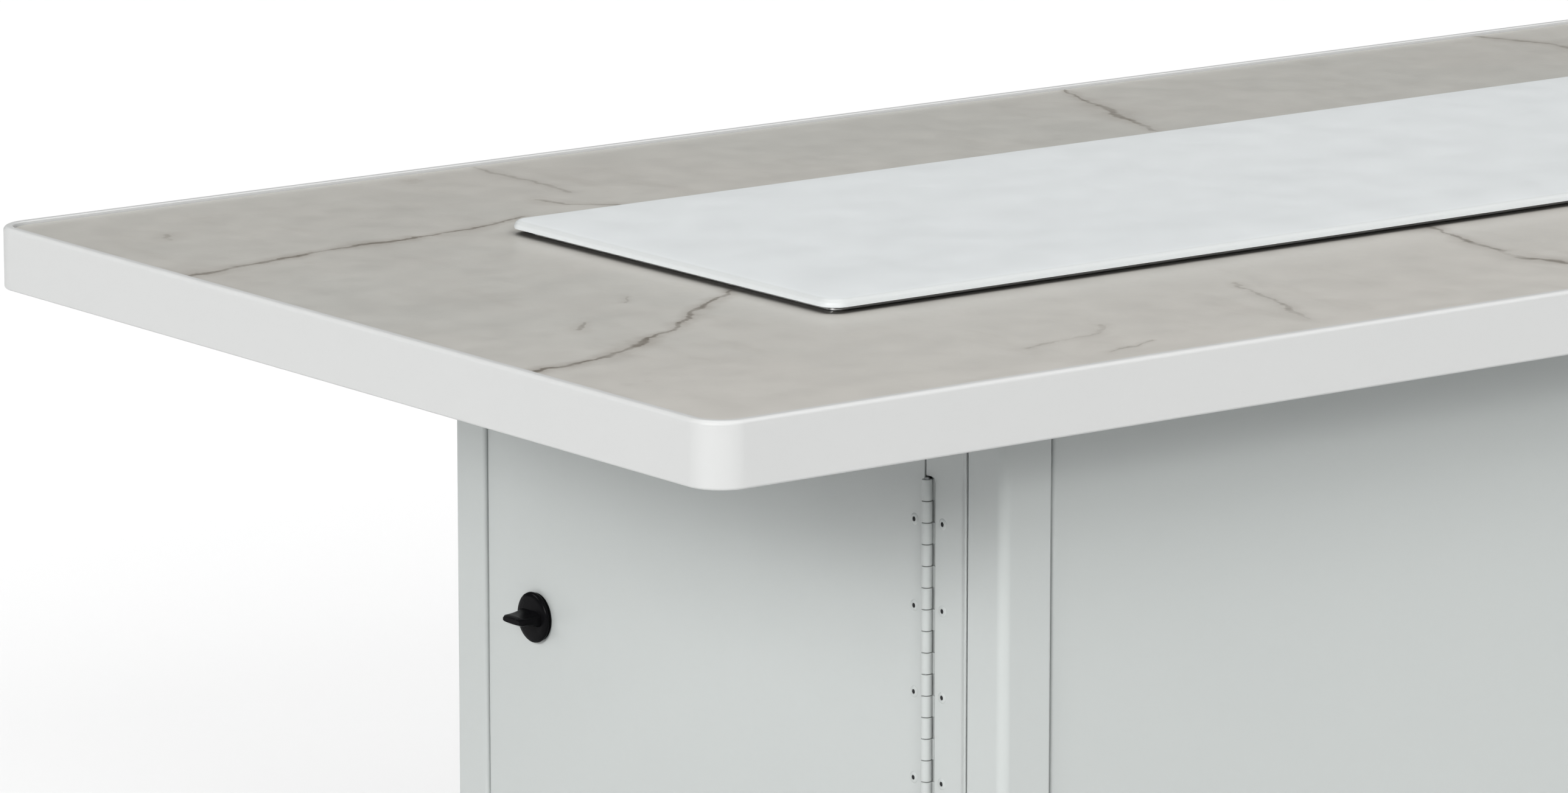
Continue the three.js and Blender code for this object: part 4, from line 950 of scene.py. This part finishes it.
def build_rivets():
    """Blind rivets along both leaves: a low dome with the broken mandrel sunk in its middle, dark as painted
    shade in the mandrel hole.
    """
    face = -END_PLANE
    dome = [[0.1, face + 0.3], [3.2, face + 0.3], [3.5, face - 0.05], [2.9, face - 0.45], [2.1, face - 0.62],
            [1.55, face - 0.64], [1.45, face - 0.2], [0.1, face - 0.2]]
    # The core is coloured dark as painted shade: the shade in the hole round the broken mandrel.
    core = [[0.1, face - 0.1], [1.40, face - 0.1], [1.30, face - 0.42], [0.1, face - 0.36]]
    for body, y, first in (("door", RIVET_LINE_DOOR, RIVET_TOP - 1.3),
                           ("table", RIVET_LINE_FRAME, RIVET_TOP)):
        places = [(y, first - index * RIVET_PITCH) for index in range(RIVETS)]
        heads = [lathe("x", dome, place, 24) for place in places]
        mandrel_hole_shades = [lathe("x", core, place, 12) for place in places]
        piece(f"rivet_heads_{body}", body, "white_powder_coat", joined(*heads))
        piece(f"rivet_mandrel_shade_{body}", body, "white_powder_coat", joined(*mandrel_hole_shades), material="foot_plastic")


# Latch

LATCH = (186.0, 361.5)


def winged_knob():
    """The latch's knob: a domed disc, its spindle, and a wing across it that swells at its root."""
    disc = [[0.1, -504.3], [14.6, -504.3], [15.5, -504.7], [15.8, -505.5], [15.6, -506.4], [14.7, -507.2],
            [12, -507.7], [0.1, -507.9]]
    sections = []
    for out in np.linspace(0, 1, 9):
        length, thick = 11.0 - 1.6 * out ** 3, 2.5 + 2.4 * (1 - out) ** 3.2
        if out == 1:
            length, thick = length - 0.9, 1.5
        sections.append((-507.4 - 15.05 * out, length, thick))
    spindle = lathe("x", [[4, -504.5], [4, -482.2], [3.4, -481], [0.1, -481]], LATCH, 24)
    return joined(lathe("x", disc, LATCH, 48), grip(LATCH, sections, 0.45, 52), spindle)


def build_latch():
    piece("latch_wing_knob", "latch", "black_gloss_plastic", winged_knob(), ["latch_knob"], sharp=50)
    flange = [[4.3, -504], [14, -504], [15, -503.6], [15, -502.9], [14.2, -502.8], [9.5, -502.8]]
    thread = []
    for turn in range(7):
        x = -500.5 + 1.8 * turn
        thread += [[8.9, x], [9.5, x + 0.9]]
    sleeve = flange + thread + [[8.9, -487], [8.6, -484.9], [4.3, -484.8]]
    piece("latch_sleeve", "door", "black_gloss_plastic", ring("x", sleeve, LATCH, 40), ["latch_housing"])
    nut = hexagon("x", 25, (-500.7, -495.7), LATCH, 0.7)
    piece("latch_ring_nut", "door", "galvanised_steel", nut, ["latch_nut"], material="zinc_plate")
    bolt = hexagon("x", 8, (-482, -479.4), LATCH, 0.4)
    piece("latch_bolt", "latch", "galvanised_steel", bolt, material="zinc_plate")


# Controls

GAS_KNOB = (-60.0, 470.0)
GAS_KNOB_BACK = 508.5
SPARK_BUTTON = (20.0, 470.0)


def barred_knob():
    """The gas knob: a low disc with a rounded bar across it."""
    back = GAS_KNOB_BACK
    disc = [[0.1, back], [20.6, back], [22, back + 1.0], [22, back + 4.2], [21, back + 5.6], [19, back + 6.2],
            [0.1, back + 6.6]]
    sections = []
    for out in np.linspace(0, 1, 9):
        thick, length = 6 - 1.1 * out, 18.6 - 1.4 * out ** 2
        if out == 1:
            thick, length = thick - 1.0, length - 1.0
        sections.append((back + 5.5 + 16.5 * out, thick, length))
    return joined(lathe("x", disc, GAS_KNOB, 56), grip(GAS_KNOB, sections, 0.6, 48))


def build_controls():
    dress("stainless_steel", 0.8, "control_plate")
    dress("stainless_steel", 0.3, "valve_stem")
    y0, z0 = GAS_KNOB
    piece("gas_knob", "knob", "black_gloss_plastic", barred_knob(), ["control_knob"], sharp=50)
    pointer = box((GAS_KNOB_BACK + 21.4, GAS_KNOB_BACK + 21.9), (y0 - 0.8, y0 + 0.8), (z0 + 6, z0 + 15))
    piece("gas_knob_pointer", "knob", "black_gloss_plastic", pointer, material="rim_coat", bevel=0.1)

    marks = []
    for degrees, top in ((0, 33), (90, 30), (180, 33)):
        mark = box((504.75, 505.0), (y0 - 0.7, y0 + 0.7), (z0 + 26, z0 + top))
        marks.append(turned_about(mark, "X", degrees, (505, y0, z0)))
    piece("control_marks", "table", "stainless_steel", joined(*marks), material="foot_plastic", bevel=0.05)

    head = [[0.1, 504.5], [3.4, 504.5], [3.6, 505.2], [3.0, 506.4], [1.6, 507.0], [1.3, 506.1], [0.1, 506.0]]
    screws = [lathe("x", head, (y, z), 24) for y in (-92, 52) for z in (433, 507)]
    piece("control_plate_screws", "table", "stainless_steel", joined(*screws), material="zinc_plate")


def build_igniter():
    cap = [[0.1, 484], [6.8, 484], [7, 484.4], [7, 510.3], [9.4, 510.3], [10, 510.9], [10, 512.4],
           [9.2, 513.6], [7.4, 514.2], [5.2, 514.3], [4.4, 513.8], [0.1, 513.6]]
    piece("spark_button", "igniter_button", "black_gloss_plastic", lathe("x", cap, SPARK_BUTTON, 40),
          ["igniter_button"])
    holder = [[11.4, 438.7], [13, 440.2], [13, 452], [12.2, 452.6], [12.2, 454], [13, 454.6], [13, 500.7],
              [7.3, 500.7], [7.3, 478.8], [0.1, 478.8], [0.1, 438.7]]
    piece("spark_module", "table", "black_gloss_plastic", ring("x", holder, SPARK_BUTTON, 40),
          ["igniter_module"], material="foot_plastic")


# Gas train and leads

def build_gas_train():
    dress("brass", 0.8, "gas_valve")
    inlet_place = (460.0, GAS_KNOB[0])
    inlet = [[4.4, 420.7], [5, 421.5], [5.4, 424], [8, 427], [8, 440.4]]
    neck = [[6.6, 450], [7, 450.6], [7, 454.2], [6.4, 454.7]]
    parts = [lathe("z", inlet, inlet_place, 32), hexagon("z", 19, (440.6, 450.4), inlet_place, 0.8),
             lathe("z", neck, inlet_place, 32)]
    piece("gas_inlet", "table", "brass", joined(*parts), ["inlet_fitting"])

    mixer = [[5, 471.3], [6, 472], [6, 473], [9, 479.4], [9, 485.4], [11.2, 489], [12, 489.6], [12, 497],
             [11.2, 497.6], [11.2, 499], [12, 499.6], [12, 510], [11, 511.1]]
    piece("burner_mixer", "table", "brass", lathe("z", mixer, (0, 0), 36), ["air_mixer"])
    # The air holes are dark discs, painted shade for the dim inside of the mixer.
    hole_shade_plugs = [moved(turned_about(lathe("z", [[2.6, 11.8], [2.6, 12.12]], (0, 0), 16), "X", 90), (0, 0, 504.6))]
    for degrees in (90, 180, 270):
        hole_shade_plugs.append(turned_about(hole_shade_plugs[0], "Z", degrees))
    piece("mixer_air_hole_shade", "table", "brass", joined(*hole_shade_plugs), material="foot_plastic")

    line, at = smooth_path([(0, 0, 470.9), (0, 0, 459), (24, -6, 439), (110, -22, 445), (250, -44, 473),
                            (370, -60, 470), (405.7, -60, 470), (425.7, -60, 470)], 620)
    total = at[-1]
    radii = np.where((at < 18) | (at > total - 18), 5.9, 5.2 + 0.7 * np.sin(at * 2 * math.pi / 4.2))
    piece("flexible_gas_line", "table", "stainless_steel", tube(line, radii, 16), ["flex_gas_line"])


def build_leads():
    lead, at = smooth_path([(60, 20, 519.2), (60, 20, 509.2), (90, 28, 493.2), (230, 48, 489.2),
                            (380, 34, 476), (428.4, 20, 470), (438.4, 20, 470)], 90)
    radii = np.where((at < 12) | (at > at[-1] - 12), 1.5, 1.35)
    piece("spark_lead", "table", "black_rubber", tube(lead, radii, 12), ["ignition_lead"])
    lead, at = smooth_path([(90, 20, 519.2), (90, 20, 511.2), (124, 14, 501.2), (250, 0, 507.2),
                            (464, -50, 511.3), (470, -60, 495.3), (470, -60, 485.3)], 110)
    piece("sensor_lead", "table", "copper", tube(lead, [1.1] * len(lead), 12), ["thermocouple_lead"])


build_top()
build_lid()
build_burner()
build_fire_glass()
build_probes()
build_cabinet()
build_feet()
build_hinge()
build_rivets()
build_latch()
build_controls()
build_igniter()
build_gas_train()
build_leads()

bpy.context.view_layer.update()
